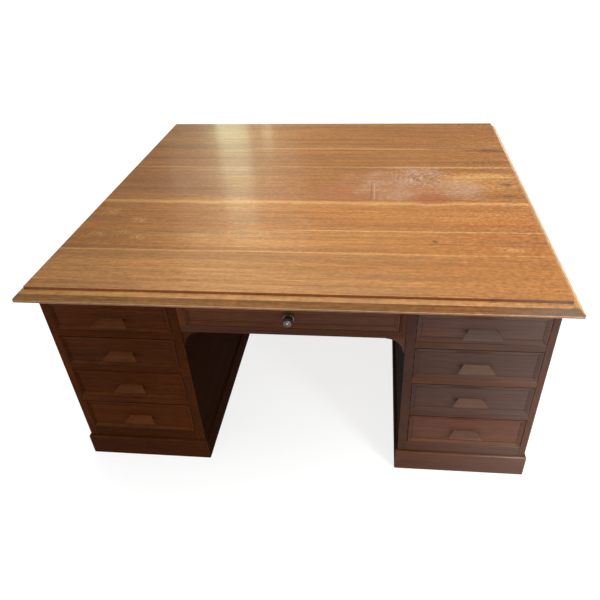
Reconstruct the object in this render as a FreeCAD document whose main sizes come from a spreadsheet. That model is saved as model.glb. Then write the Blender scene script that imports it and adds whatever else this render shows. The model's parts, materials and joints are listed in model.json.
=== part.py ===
import FreeCAD, Part
import math
import os
import re
import Sketcher

# A partners desk: two pedestals of four graduated drawers on each long side, a centre drawer over the
# kneehole on each long side, and a boarded top in a mitred moulding.
# Millimetres. The origin is on the floor under the middle of the desk, +X to the right of a person who
# sits at the front, +Y towards the rear side, +Z up.
SIZES = {
    # Plan of the case
    "case_depth": 1474,
    "kneehole_width": 698,
    "inner_side_thickness": 30,
    "drawer_opening_width": 386,
    "outer_side_thickness": 22,
    # Stack of each pedestal, from the floor up
    "plinth_height": 92,
    "plinth_proud": 8,
    "plinth_thickness": 30,
    "plinth_chamfer": 5,
    "bottom_rail_height": 45,
    "drawer_4_opening": 132,
    "drawer_3_opening": 121,
    "drawer_2_opening": 121,
    "drawer_1_opening": 104,
    "drawer_rail_height": 25,
    "drawer_rail_depth": 60,
    "bottom_board_thickness": 18,
    "partition_thickness": 18,
    # Frame under the top
    "frame_rail_height": 40,
    "frame_rail_thickness": 22,
    "bearer_thickness": 30,
    # Top: boards in a mitred edge moulding
    "side_overhang": 37,
    "front_overhang": 58,
    "moulding_fillet": 12,
    "moulding_bevel_out": 14,
    "moulding_bevel_rise": 12,
    "moulding_slope_out": 16,
    "moulding_slope_rise": 8,
    "board_step": 8,
    "board_thickness": 20,
    "board_1_width": 361,
    "board_2_width": 216,
    "board_3_width": 350,
    "board_4_width": 218,
    "board_5_width": 152,
    # Framed and panelled outer sides
    "side_stile_width": 75,
    "side_top_rail_height": 80,
    "side_bottom_rail_height": 100,
    "side_panel_thickness": 9,
    "side_panel_tongue": 9,
    "side_panel_setback": 6,
    # Kneehole
    "centre_drawer_opening": 69,
    "apron_height": 26,
    "apron_thickness": 22,
    "end_stile_width": 19,
    "spandrel_width": 60,
    "spandrel_ear": 3,
    "spandrel_radius": 54,
    "spandrel_thickness": 20,
    "spandrel_setback": 2,
    # Drawer carriage
    "runner_width": 25,
    "runner_height": 20,
    "centre_runner_width": 37,
    "stop_length": 88,
    "stop_width": 40,
    "stop_height": 22,
    "stop_lift": 26,
    # Drawers
    "drawer_gap": 1.5,
    "front_thickness": 20,
    "border_flat": 3,
    "border_width": 14.5,
    "field_depth": 5,
    "drawer_side_thickness": 12,
    "drawer_side_drop": 12,
    "drawer_back_thickness": 12,
    "drawer_back_drop": 6,
    "drawer_bottom_thickness": 7,
    "drawer_bottom_lift": 9,
    "groove_depth": 5,
    "tail_length": 12,
    "tail_width": 15,
    "tail_flare": 2,
    # Wooden pulls of the pedestal drawers
    "pull_below_middle": 2,
    "pull_projection": 24,
    "pull_drop": 18,
    "pull_lip": 6,
    "pull_root_height": 16,
    "pull_root_width": 76,
    "pull_lip_width": 114,
    # Turned knob and lock face of the centre drawers
    "knob_off_centre": 5,
    "knob_lift": 1.4,
    "rose_radius": 17,
    "rose_thickness": 3,
    "rose_rim_width": 3,
    "rose_rim_height": 2.5,
    "neck_radius": 8,
    "neck_length": 8,
    "head_radius": 16,
    "head_length": 16,
    "head_bevel": 2,
    "lock_radius": 11,
    "lock_thickness": 2.5,
    "lock_ring_width": 4,
    "lock_ring_depth": 1,
    "lock_core_radius": 3.5,
}

PANELS_PER_SIDE = 3
PEDESTAL_TAILS = 3
CENTRE_TAILS = 2
BOARDS_ACROSS = 6

doc = FreeCAD.newDocument("partners_desk")
sheet = doc.addObject("Spreadsheet::Sheet", "sizes")
for row, (alias, value) in enumerate(SIZES.items(), 1):
    sheet.set(f"A{row}", alias)
    sheet.set(f"B{row}", str(value))
    sheet.setAlias(f"B{row}", alias)
doc.recompute()

SIZE_WORD = re.compile(r"\b(" + "|".join(SIZES) + r")\b")
SIDES = (("left", -1), ("right", 1))
ENDS = (("front", -1), ("rear", 1))
nodes = []


# Places that several pieces share, worked out from the sizes above
HALF_DEPTH = "(case_depth / 2)"
KNEE_X = "(kneehole_width / 2)"
OPENING_X = f"({KNEE_X} + inner_side_thickness)"
OUTER_X = f"({OPENING_X} + drawer_opening_width)"
CASE_X = f"({OUTER_X} + outer_side_thickness)"
DRAWER_X = f"({OPENING_X} + drawer_opening_width / 2)"
TOP_X = f"({CASE_X} + side_overhang)"
TOP_Y = f"({HALF_DEPTH} + front_overhang)"
FLOOR_4 = "(plinth_height + bottom_rail_height)"
FLOOR_3 = f"({FLOOR_4} + drawer_4_opening + drawer_rail_height)"
FLOOR_2 = f"({FLOOR_3} + drawer_3_opening + drawer_rail_height)"
FLOOR_1 = f"({FLOOR_2} + drawer_2_opening + drawer_rail_height)"
CASE_Z = f"({FLOOR_1} + drawer_1_opening)"
DRAWER_FLOORS = {1: FLOOR_1, 2: FLOOR_2, 3: FLOOR_3, 4: FLOOR_4}
TOP_FOOT_Z = f"({CASE_Z} + frame_rail_height)"
MOULDING_RISE = "(moulding_fillet + moulding_bevel_rise + moulding_slope_rise)"
MOULDING_OUT = "(moulding_bevel_out + moulding_slope_out)"
MOULDING_REACH = "(front_overhang + frame_rail_thickness)"
BOARD_FOOT_Z = f"({TOP_FOOT_Z} + {MOULDING_RISE} + board_step - board_thickness)"
CENTRE_FLOOR = f"({CASE_Z} - centre_drawer_opening)"
APRON_FOOT = f"({CENTRE_FLOOR} - apron_height)"
CENTRE_X = f"({KNEE_X} - end_stile_width)"
DRAWER_LENGTH = f"({HALF_DEPTH} - partition_thickness / 2 - stop_length)"


def formula(text):
    """Gives an expression on the sheet from one written with bare size names."""
    return SIZE_WORD.sub(r"sizes.\1", str(text))


def bind(piece, **expressions):
    """Binds properties of a piece to expressions on the sizes."""
    for name, text in expressions.items():
        piece.setExpression(name, formula(text))
    return piece


def place(piece, x="0", y="0", z="0", rotation=None):
    """Places a piece at bound coordinates, turned by a fixed rotation."""
    if rotation is not None:
        piece.Placement = FreeCAD.Placement(FreeCAD.Vector(), rotation)
    for axis, text in zip("xyz", (x, y, z)):
        piece.setExpression(f"Placement.Base.{axis}", formula(text))
    return piece


def turned_about_z(degrees):
    """A rotation about the vertical."""
    return FreeCAD.Rotation(FreeCAD.Vector(0, 0, 1), degrees)


def board(name, x, y, z):
    """A board from its (start, length) pairs along X, Y and Z."""
    piece = doc.addObject("Part::Box", name)
    bind(piece, Length=x[1], Width=y[1], Height=z[1])
    return place(piece, x[0], y[0], z[0])


def centred(length, middle="0"):
    """The (start, length) pair of a length centred on a place."""
    return (f"{middle} - ({length}) / 2", length)


def outward(sign, start, length):
    """The (start, length) pair of a span that begins at +start, or at its mirror image."""
    if sign > 0:
        return (start, length)
    return (f"-({start}) - ({length})", length)


def wedge(name, near, far, y):
    """A block between a near and a far rectangle, each ((x low, x high), (z low, z high))."""
    piece = doc.addObject("Part::Wedge", name)
    bind(piece, Ymin=y[0], Ymax=y[1],
         Xmin=near[0][0], Xmax=near[0][1], Zmin=near[1][0], Zmax=near[1][1],
         X2min=far[0][0], X2max=far[0][1], Z2min=far[1][0], Z2max=far[1][1])
    return piece


def boolean(kind, name, base, tool):
    """One piece cut by, or held to, another."""
    piece = doc.addObject(f"Part::{kind}", name)
    piece.Base = base
    piece.Tool = tool
    return piece


def group(name, pieces):
    """Pieces kept together as separate solids."""
    piece = doc.addObject("Part::Compound", name)
    piece.Links = pieces
    return piece


def node(name, piece):
    """Names a finished sub-part, which is written to its own file."""
    piece.Label = name
    nodes.append(piece)
    return piece


def draw_outline(sketch, corners):
    """Draws a closed outline whose corners are bound to pairs of expressions."""
    count = len(corners)
    turns = [2 * math.pi * k / count for k in range(count + 1)]
    rough = [FreeCAD.Vector(math.cos(turn), math.sin(turn), 0) for turn in turns]
    for start, end in zip(rough, rough[1:]):
        sketch.addGeometry(Part.LineSegment(start, end))
    for k in range(count):
        sketch.addConstraint(Sketcher.Constraint("Coincident", k, 2, (k + 1) % count, 1))
    for k, corner in enumerate(corners):
        for direction, text in zip(("DistanceX", "DistanceY"), corner):
            index = sketch.addConstraint(Sketcher.Constraint(direction, k, 1, 1.0))
            sketch.setExpression(f"Constraints[{index}]", formula(text))


def mitred(name, length, outline, reach, rise):
    """A moulded length along X, mitred at both ends, whose outline runs (inward, up) from its foot."""
    sketch = doc.addObject("Sketcher::SketchObject", f"{name}_outline")
    sketch.Placement.Rotation = FreeCAD.Rotation(FreeCAD.Vector(1, 1, 1), 120)
    draw_outline(sketch, outline)
    run = doc.addObject("Part::Extrusion", f"{name}_run")
    run.Base = sketch
    run.DirMode = "Custom"
    run.Dir = FreeCAD.Vector(1, 0, 0)
    run.Solid = True
    run.Symmetric = True
    bind(run, LengthFwd=length)
    half = f"({length}) / 2"
    mitre = wedge(f"{name}_mitre",
                  ((f"-{half}", half), ("0", rise)),
                  ((f"-({half} - {reach})", f"{half} - {reach}"), ("0", rise)),
                  ("0", reach))
    return boolean("Common", name, run, mitre)


def mitred_frame(name, half_x, half_y, x, z, outline, reach, rise):
    """Four mitred lengths round a rectangle, the first at the front."""
    long_run = f"2 * {half_x}"
    short_run = f"2 * {half_y}"
    lengths = (
        ("front", long_run, x, f"-{half_y}", 0),
        ("right", short_run, f"{x} + {half_x}", "0", 90),
        ("rear", long_run, x, half_y, 180),
        ("left", short_run, f"{x} - {half_x}", "0", 270),
    )
    pieces = []
    for end, length, at_x, at_y, degrees in lengths:
        piece = mitred(f"{name}_{end}", length, outline, reach, rise)
        pieces.append(place(piece, at_x, at_y, z, turned_about_z(degrees)))
    return group(name, pieces)


def turned(name, outline):
    """A turned piece from the half outline (radius, height) of its section."""
    body = doc.addObject("PartDesign::Body", name)
    sketch = body.newObject("Sketcher::SketchObject", f"{name}_outline")
    planes = {plane.Role: plane for plane in body.Origin.OriginFeatures}
    sketch.AttachmentSupport = [(planes["XZ_Plane"], "")]
    sketch.MapMode = "FlatFace"
    draw_outline(sketch, outline)
    lathe = body.newObject("PartDesign::Revolution", f"{name}_lathe")
    lathe.Profile = sketch
    lathe.ReferenceAxis = (sketch, ["V_Axis"])
    lathe.Angle = 360
    return body


def build_top():
    """The boards and the mitred moulding that they drop into."""
    outline = (
        ("0", "0"),
        ("0", "moulding_fillet"),
        ("moulding_bevel_out", "moulding_fillet + moulding_bevel_rise"),
        (MOULDING_OUT, MOULDING_RISE),
        (MOULDING_OUT, f"{MOULDING_RISE} + board_step - board_thickness"),
        (MOULDING_REACH, f"{MOULDING_RISE} + board_step - board_thickness"),
        (MOULDING_REACH, "0"),
    )
    moulding = mitred_frame("moulding", TOP_X, TOP_Y, "0", TOP_FOOT_Z, outline,
                            MOULDING_REACH, MOULDING_RISE)
    node("top_edge_moulding", moulding)

    field_y = f"({TOP_Y} - {MOULDING_OUT})"
    rear = field_y
    boards = []
    for number in range(1, BOARDS_ACROSS + 1):
        width = f"board_{number}_width"
        if number == BOARDS_ACROSS:
            width = f"({rear} + {field_y})"
        front = f"({rear} - {width})"
        boards.append(board(f"top_board_{number}",
                            centred(f"2 * ({TOP_X} - {MOULDING_OUT})"),
                            (front, width),
                            (BOARD_FOOT_Z, "board_thickness")))
        rear = front
    node("top_boards", group("top_boards", boards))


def build_top_frame():
    """Rails round the case under the top, and bearers from front to rear that carry the boards."""
    upright = (CASE_Z, "frame_rail_height")
    rails = []
    for end, sign in ENDS:
        y = outward(sign, f"{HALF_DEPTH} - frame_rail_thickness", "frame_rail_thickness")
        rails.append(board(f"frame_{end}_rail", centred(f"2 * {CASE_X}"), y, upright))
    between = centred("case_depth - 2 * frame_rail_thickness")
    for side, sign in SIDES:
        x = outward(sign, f"{CASE_X} - frame_rail_thickness", "frame_rail_thickness")
        rails.append(board(f"frame_{side}_rail", x, between, upright))
    inner_x = f"({KNEE_X} + inner_side_thickness / 2)"
    places = ("0", inner_x, f"-{inner_x}", DRAWER_X, f"-{DRAWER_X}")
    for number, middle in enumerate(places, 1):
        rails.append(board(f"bearer_{number}", centred("bearer_thickness", middle), between,
                           (CASE_Z, f"{BOARD_FOOT_Z} - {CASE_Z}")))
    node("top_frame", group("top_frame", rails))


def build_outer_sides():
    """Framed outer sides: stiles and rails grooved for flat panels."""
    height = f"({CASE_Z} - plinth_height)"
    bays = PANELS_PER_SIDE
    bay = f"((case_depth - {bays + 1} * side_stile_width) / {bays})"
    panel_height = f"({height} - side_top_rail_height - side_bottom_rail_height)"
    panel_foot = "(plinth_height + side_bottom_rail_height)"
    all_panels = []
    for side, sign in SIDES:
        x = outward(sign, OUTER_X, "outer_side_thickness")
        panel_x = outward(sign, f"{CASE_X} - side_panel_setback - side_panel_thickness",
                          "side_panel_thickness")
        panels = []
        for number in range(bays):
            start = f"-{HALF_DEPTH} + {number + 1} * side_stile_width + {number} * {bay}"
            panels.append(board(f"{side}_panel_{number + 1}", panel_x,
                                (f"{start} - side_panel_tongue", f"{bay} + 2 * side_panel_tongue"),
                                (f"{panel_foot} - side_panel_tongue",
                                 f"{panel_height} + 2 * side_panel_tongue")))
        all_panels += panels
        tongues = group(f"{side}_panel_tongues", panels)
        members = []
        for number in range(bays + 1):
            start = f"-{HALF_DEPTH} + {number} * (side_stile_width + {bay})"
            full = number in (0, bays)
            foot = "plinth_height" if full else panel_foot
            length = height if full else panel_height
            members.append(board(f"{side}_upright_{number + 1}", x, (start, "side_stile_width"),
                                 (foot, length)))
        between = centred("case_depth - 2 * side_stile_width")
        members.append(board(f"{side}_side_bottom_rail", x, between,
                             ("plinth_height", "side_bottom_rail_height")))
        members.append(board(f"{side}_side_top_rail", x, between,
                             (f"{CASE_Z} - side_top_rail_height", "side_top_rail_height")))
        grooved = [boolean("Cut", f"{member.Name}_grooved", member, tongues) for member in members]
        node(f"{side}_outer_side_frame", group(f"{side}_outer_side_frame", grooved))
    node("outer_side_panels", group("outer_side_panels", all_panels))


def build_pedestals():
    """Plinths, inner sides, bottoms, drawer rails, runners and partitions of both pedestals."""
    plinth_outline = (
        ("0", "0"),
        ("0", "plinth_height - plinth_chamfer"),
        ("plinth_chamfer", "plinth_height"),
        ("plinth_thickness", "plinth_height"),
        ("plinth_thickness", "0"),
    )
    pedestal_half = f"(({CASE_X} - {KNEE_X}) / 2)"
    opening = "drawer_opening_width"
    bottoms = []
    partitions = []
    stops = []
    for side, sign in SIDES:
        middle = f"{sign} * ({KNEE_X} + {CASE_X}) / 2"
        plinth = mitred_frame(f"{side}_plinth", f"({pedestal_half} + plinth_proud)",
                              f"({HALF_DEPTH} + plinth_proud)", middle, "0", plinth_outline,
                              "plinth_thickness", "plinth_height")
        node(f"{side}_plinth", plinth)

        inner = board(f"{side}_inner_side", outward(sign, KNEE_X, "inner_side_thickness"),
                      centred("case_depth"), ("plinth_height", f"{CASE_Z} - plinth_height"))
        node(f"{side}_inner_side", inner)

        across = outward(sign, OPENING_X, opening)
        bottoms.append(board(f"{side}_bottom", across,
                             centred("case_depth - 2 * frame_rail_thickness"),
                             ("plinth_height", "bottom_board_thickness")))
        partition_foot = "(plinth_height + bottom_board_thickness)"
        partitions.append(board(f"{side}_partition", across, centred("partition_thickness"),
                                (partition_foot, f"{CASE_Z} - {partition_foot}")))

        rails = []
        runners = []
        for end, facing in ENDS:
            rails.append(board(f"{end}_{side}_bottom_rail", across,
                               outward(facing, f"{HALF_DEPTH} - frame_rail_thickness",
                                       "frame_rail_thickness"),
                               ("plinth_height", "bottom_rail_height")))
            for number in (1, 2, 3):
                rails.append(board(f"{end}_{side}_rail_{number}", across,
                                   outward(facing, f"{HALF_DEPTH} - drawer_rail_depth",
                                           "drawer_rail_depth"),
                                   (f"{DRAWER_FLOORS[number]} - drawer_rail_height",
                                    "drawer_rail_height")))
            for number, floor in DRAWER_FLOORS.items():
                front_stock = "frame_rail_thickness" if number == 4 else "drawer_rail_depth"
                along = outward(facing, "partition_thickness / 2",
                                f"{HALF_DEPTH} - {front_stock} - partition_thickness / 2")
                upright = (f"{floor} - runner_height", "runner_height")
                starts = (("inner", OPENING_X), ("outer", f"{OUTER_X} - runner_width"))
                for edge, start in starts:
                    runners.append(board(f"{end}_{side}_{edge}_runner_{number}",
                                         outward(sign, start, "runner_width"), along, upright))
                stops.append(board(f"{end}_{side}_stop_{number}",
                                   centred("stop_width", f"{sign} * {DRAWER_X}"),
                                   outward(facing, "partition_thickness / 2", "stop_length"),
                                   (f"{floor} + stop_lift", "stop_height")))
        node(f"{side}_drawer_rails", group(f"{side}_drawer_rails", rails))
        node(f"{side}_runners", group(f"{side}_runners", runners))
    node("pedestal_bottoms", group("pedestal_bottoms", bottoms))

    partitions.append(board("centre_partition", centred(f"2 * {CENTRE_X}"),
                            centred("partition_thickness"), (CENTRE_FLOOR, "centre_drawer_opening")))
    node("partitions", group("partitions", partitions))
    for end, facing in ENDS:
        stops.append(board(f"{end}_centre_stop", centred("stop_width"),
                           outward(facing, "partition_thickness / 2", "stop_length"),
                           (f"{CENTRE_FLOOR} + stop_lift", "stop_height")))
    node("drawer_stops", group("drawer_stops", stops))


def build_kneehole():
    """Aprons, end stiles, spandrels, and the carriage of the centre drawers."""
    rails = []
    spandrels = []
    for end, facing in ENDS:
        y = outward(facing, f"{HALF_DEPTH} - apron_thickness", "apron_thickness")
        rails.append(board(f"{end}_apron", centred("kneehole_width"), y, (APRON_FOOT, "apron_height")))
        for side, sign in SIDES:
            rails.append(board(f"{end}_{side}_end_stile",
                               outward(sign, CENTRE_X, "end_stile_width"), y,
                               (CENTRE_FLOOR, "centre_drawer_opening")))
            spandrel_y = outward(facing, f"{HALF_DEPTH} - spandrel_setback - spandrel_thickness",
                                 "spandrel_thickness")
            tall = "(spandrel_ear + spandrel_radius)"
            blank = board(f"{end}_{side}_spandrel_blank",
                          outward(sign, f"{KNEE_X} - spandrel_width", "spandrel_width"),
                          spandrel_y, (f"{APRON_FOOT} - {tall}", tall))
            sweep = doc.addObject("Part::Cylinder", f"{end}_{side}_spandrel_sweep")
            bind(sweep, Radius="spandrel_radius", Height="spandrel_thickness")
            flat = FreeCAD.Rotation(FreeCAD.Vector(1, 0, 0), -90)
            place(sweep, f"{sign} * ({KNEE_X} - spandrel_width)", spandrel_y[0],
                  f"{APRON_FOOT} - {tall}", flat)
            spandrels.append(boolean("Cut", f"{end}_{side}_spandrel", blank, sweep))
    node("kneehole_rails", group("kneehole_rails", rails))
    node("kneehole_spandrels", group("kneehole_spandrels", spandrels))

    carriage = []
    along = centred("case_depth - 2 * apron_thickness")
    for side, sign in SIDES:
        carriage.append(board(f"{side}_centre_runner",
                              outward(sign, f"{KNEE_X} - centre_runner_width", "centre_runner_width"),
                              along, (f"{CENTRE_FLOOR} - runner_height", "runner_height")))
        carriage.append(board(f"{side}_centre_guide", outward(sign, CENTRE_X, "end_stile_width"),
                              along, (CENTRE_FLOOR, "centre_drawer_opening")))
    node("centre_runners", group("centre_runners", carriage))


def build_pull(name, mid_height):
    """A wooden pull, flared from the drawer front out to a finger lip."""
    top = f"({mid_height} - pull_below_middle)"
    lip = f"({top} - pull_drop)"
    return wedge(name,
                 (("-pull_lip_width / 2", "pull_lip_width / 2"), (f"{lip} - pull_lip", lip)),
                 (("-pull_root_width / 2", "pull_root_width / 2"), (f"{top} - pull_root_height", top)),
                 ("field_depth - pull_projection", "field_depth"))


def build_drawer(name, width, height, tails, x, y, z, rotation, pull):
    """A drawer with a front lap-dovetailed to its sides, and a bottom held in grooves.

    The drawer is laid out with its front face at Y 0 and its sides' lower edges at Z 0.
    """
    half = f"({width} / 2 - drawer_gap)"
    side_height = f"({height} - drawer_side_drop)"
    front = board(f"{name}_front_board", centred(f"2 * {half}"), ("0", "front_thickness"),
                  ("drawer_gap", f"{height} - 2 * drawer_gap"))
    edge = f"({half} - border_flat)"
    field = f"({half} - border_width)"
    low = "drawer_gap"
    high = f"{height} - drawer_gap"
    recess = wedge(f"{name}_recess",
                   ((f"-{edge}", edge), (f"{low} + border_flat", f"{high} - border_flat")),
                   ((f"-{field}", field), (f"{low} + border_width", f"{high} - border_width")),
                   ("0", "field_depth"))
    inner = f"({half} - drawer_side_thickness)"
    bottom = board(f"{name}_bottom", centred(f"2 * ({inner} + groove_depth)"),
                   ("front_thickness - groove_depth",
                    f"{DRAWER_LENGTH} - front_thickness + groove_depth"),
                   ("drawer_bottom_lift", "drawer_bottom_thickness"))
    back_foot = "(drawer_bottom_lift + drawer_bottom_thickness)"
    back = board(f"{name}_back", centred(f"2 * ({inner} + groove_depth)"),
                 (f"{DRAWER_LENGTH} - drawer_back_thickness", "drawer_back_thickness"),
                 (back_foot, f"{side_height} - drawer_back_drop - {back_foot}"))
    pitch = f"({side_height} / {tails})"
    sides = []
    all_tails = []
    for side, sign in SIDES:
        across = outward(sign, inner, "drawer_side_thickness")
        span = (across[0], f"{across[0]} + {across[1]}")
        plank = board(f"{name}_{side}_plank", across,
                      ("front_thickness", f"{DRAWER_LENGTH} - front_thickness"), ("0", side_height))
        side_tails = []
        for number in range(tails):
            middle = f"({pitch} * {number + 0.5})"
            root = "(tail_width / 2)"
            tip = "(tail_width / 2 + tail_flare)"
            side_tails.append(wedge(f"{name}_{side}_tail_{number + 1}",
                                    (span, (f"{middle} - {tip}", f"{middle} + {tip}")),
                                    (span, (f"{middle} - {root}", f"{middle} + {root}")),
                                    ("front_thickness - tail_length", "front_thickness")))
        all_tails += side_tails
        tailed = doc.addObject("Part::MultiFuse", f"{name}_{side}_tailed")
        tailed.Shapes = [plank] + side_tails
        grooved = boolean("Cut", f"{name}_{side}_grooved", tailed, bottom)
        sides.append(boolean("Cut", f"{name}_{side}_side", grooved, back))
    fielded = boolean("Cut", f"{name}_fielded", front, recess)
    socketed = boolean("Cut", f"{name}_socketed", fielded, group(f"{name}_tails", all_tails))
    faced = [boolean("Cut", f"{name}_face", socketed, bottom)]
    if pull:
        faced.append(build_pull(f"{name}_pull", f"({height} / 2)"))
    face = place(group(f"{name}_front", faced), x, y, z, rotation)
    box = place(group(f"{name}_box", sides + [back, bottom]), x, y, z, rotation)
    node(f"{name}_front", face)
    node(f"{name}_box", box)


def build_knob(name, x, y, z, rotation):
    """A turned rose with a raised rim, a knob, and the bright lock face set on the knob's end."""
    rose = turned(f"{name}_rose", (
        ("0", "0"),
        ("rose_radius", "0"),
        ("rose_radius", "rose_thickness + rose_rim_height"),
        ("rose_radius - rose_rim_width", "rose_thickness + rose_rim_height"),
        ("rose_radius - rose_rim_width", "rose_thickness"),
        ("0", "rose_thickness"),
    ))
    neck_top = "(rose_thickness + neck_length)"
    head_top = f"({neck_top} + head_length)"
    knob = turned(f"{name}_head", (
        ("0", "rose_thickness"),
        ("neck_radius", "rose_thickness"),
        ("neck_radius", neck_top),
        ("head_radius", neck_top),
        ("head_radius", f"{head_top} - head_bevel"),
        ("head_radius - head_bevel", head_top),
        ("0", head_top),
    ))
    lock_top = f"({head_top} + lock_thickness)"
    lock = turned(f"{name}_lock_face", (
        ("0", head_top),
        ("lock_radius", head_top),
        ("lock_radius", lock_top),
        ("lock_radius - lock_ring_width", lock_top),
        ("lock_radius - lock_ring_width", f"{lock_top} - lock_ring_depth"),
        ("lock_core_radius", f"{lock_top} - lock_ring_depth"),
        ("lock_core_radius", lock_top),
        ("0", lock_top),
    ))
    node(f"{name}_knob", place(group(f"{name}_knob", [rose, knob]), x, y, z, rotation))
    node(f"{name}_lock", place(group(f"{name}_lock", [lock]), x, y, z, rotation))


def build_drawers():
    """Eight pedestal drawers and a centre drawer on each long side."""
    for end, facing in ENDS:
        rotation = turned_about_z(0 if facing < 0 else 180)
        face_y = f"{facing} * {HALF_DEPTH}"
        for side, sign in SIDES:
            for number, floor in DRAWER_FLOORS.items():
                build_drawer(f"{end}_{side}_drawer_{number}", "drawer_opening_width",
                             f"drawer_{number}_opening", PEDESTAL_TAILS, f"{sign} * {DRAWER_X}",
                             face_y, floor, rotation, True)
        build_drawer(f"{end}_centre_drawer", f"(2 * {CENTRE_X})", "centre_drawer_opening",
                     CENTRE_TAILS, "0", face_y, CENTRE_FLOOR, rotation, False)
        out = FreeCAD.Rotation(FreeCAD.Vector(1, 0, 0), -90 * facing)
        build_knob(f"{end}_centre", f"{facing} * knob_off_centre",
                   f"{facing} * ({HALF_DEPTH} - field_depth)",
                   f"{CENTRE_FLOOR} + centre_drawer_opening / 2 + knob_lift", out)


def write_nodes():
    """Stops on any failed piece, then writes each sub-part to its file."""
    doc.recompute()
    for piece in doc.Objects:
        if "Invalid" in piece.State or "Error" in piece.State:
            raise RuntimeError(f"{piece.Label} failed: {piece.State}")
    for piece in nodes:
        if piece.Shape.isNull() or not piece.Shape.isValid() or not piece.Shape.Solids:
            raise RuntimeError(f"{piece.Label} has no valid shape")
    os.makedirs("parts", exist_ok=True)
    for piece in nodes:
        piece.Shape.exportStep(os.path.join("parts", f"{piece.Label}.step"))
    solids = sum(len(piece.Shape.Solids) for piece in nodes)
    print(f"{len(nodes)} sub-parts, {solids} solids")


build_top()
build_top_frame()
build_outer_sides()
build_pedestals()
build_kneehole()
build_drawers()
write_nodes()
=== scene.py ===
"""Looks of an oak partners desk: eased boards with their own grain, waxed oak, metal and a studio."""

import json
import logging
import math
import random
from collections.abc import Callable, Iterable, Iterator, Mapping
from dataclasses import dataclass, field, replace
from enum import Enum
from typing import Any

import bmesh
import bpy
from mathutils import Matrix, Vector

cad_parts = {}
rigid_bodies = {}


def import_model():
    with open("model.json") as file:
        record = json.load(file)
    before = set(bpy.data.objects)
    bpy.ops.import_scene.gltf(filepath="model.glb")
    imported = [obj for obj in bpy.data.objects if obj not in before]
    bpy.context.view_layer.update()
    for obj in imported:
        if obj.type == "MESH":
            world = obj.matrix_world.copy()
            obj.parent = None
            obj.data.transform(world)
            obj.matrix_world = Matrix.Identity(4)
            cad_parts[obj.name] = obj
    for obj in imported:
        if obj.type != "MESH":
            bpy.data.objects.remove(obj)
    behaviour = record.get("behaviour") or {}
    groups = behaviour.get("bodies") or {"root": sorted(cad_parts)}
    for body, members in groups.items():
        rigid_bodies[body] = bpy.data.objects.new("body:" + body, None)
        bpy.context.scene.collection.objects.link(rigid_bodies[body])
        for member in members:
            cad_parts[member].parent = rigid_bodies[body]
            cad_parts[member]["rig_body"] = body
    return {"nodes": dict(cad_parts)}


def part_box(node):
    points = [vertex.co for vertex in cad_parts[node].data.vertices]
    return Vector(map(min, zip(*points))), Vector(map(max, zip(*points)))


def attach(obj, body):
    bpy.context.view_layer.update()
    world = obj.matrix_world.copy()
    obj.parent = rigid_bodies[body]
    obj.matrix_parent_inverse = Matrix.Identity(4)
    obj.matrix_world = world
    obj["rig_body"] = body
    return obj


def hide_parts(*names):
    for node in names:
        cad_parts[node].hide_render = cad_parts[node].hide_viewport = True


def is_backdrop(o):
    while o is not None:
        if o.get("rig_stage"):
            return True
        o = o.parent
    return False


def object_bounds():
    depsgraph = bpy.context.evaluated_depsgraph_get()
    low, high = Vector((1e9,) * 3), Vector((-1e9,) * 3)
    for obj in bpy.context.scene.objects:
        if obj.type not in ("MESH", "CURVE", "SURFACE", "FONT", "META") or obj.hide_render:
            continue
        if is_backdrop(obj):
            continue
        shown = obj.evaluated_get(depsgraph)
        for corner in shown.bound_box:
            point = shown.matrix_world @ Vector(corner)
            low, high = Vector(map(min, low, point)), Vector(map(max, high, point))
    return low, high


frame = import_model()
CAD_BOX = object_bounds()

LOG = logging.getLogger("partners_desk")

Span = tuple[float, float]
Triple = tuple[float, float, float]
Colour = Triple
Face = bmesh.types.BMFace
Shape = bmesh.types.BMesh

WHITE: Colour = (1.0, 1.0, 1.0)
NOISE_MIDDLE = 0.5
MICROMETRES_PER_METRE = 1e6


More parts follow.
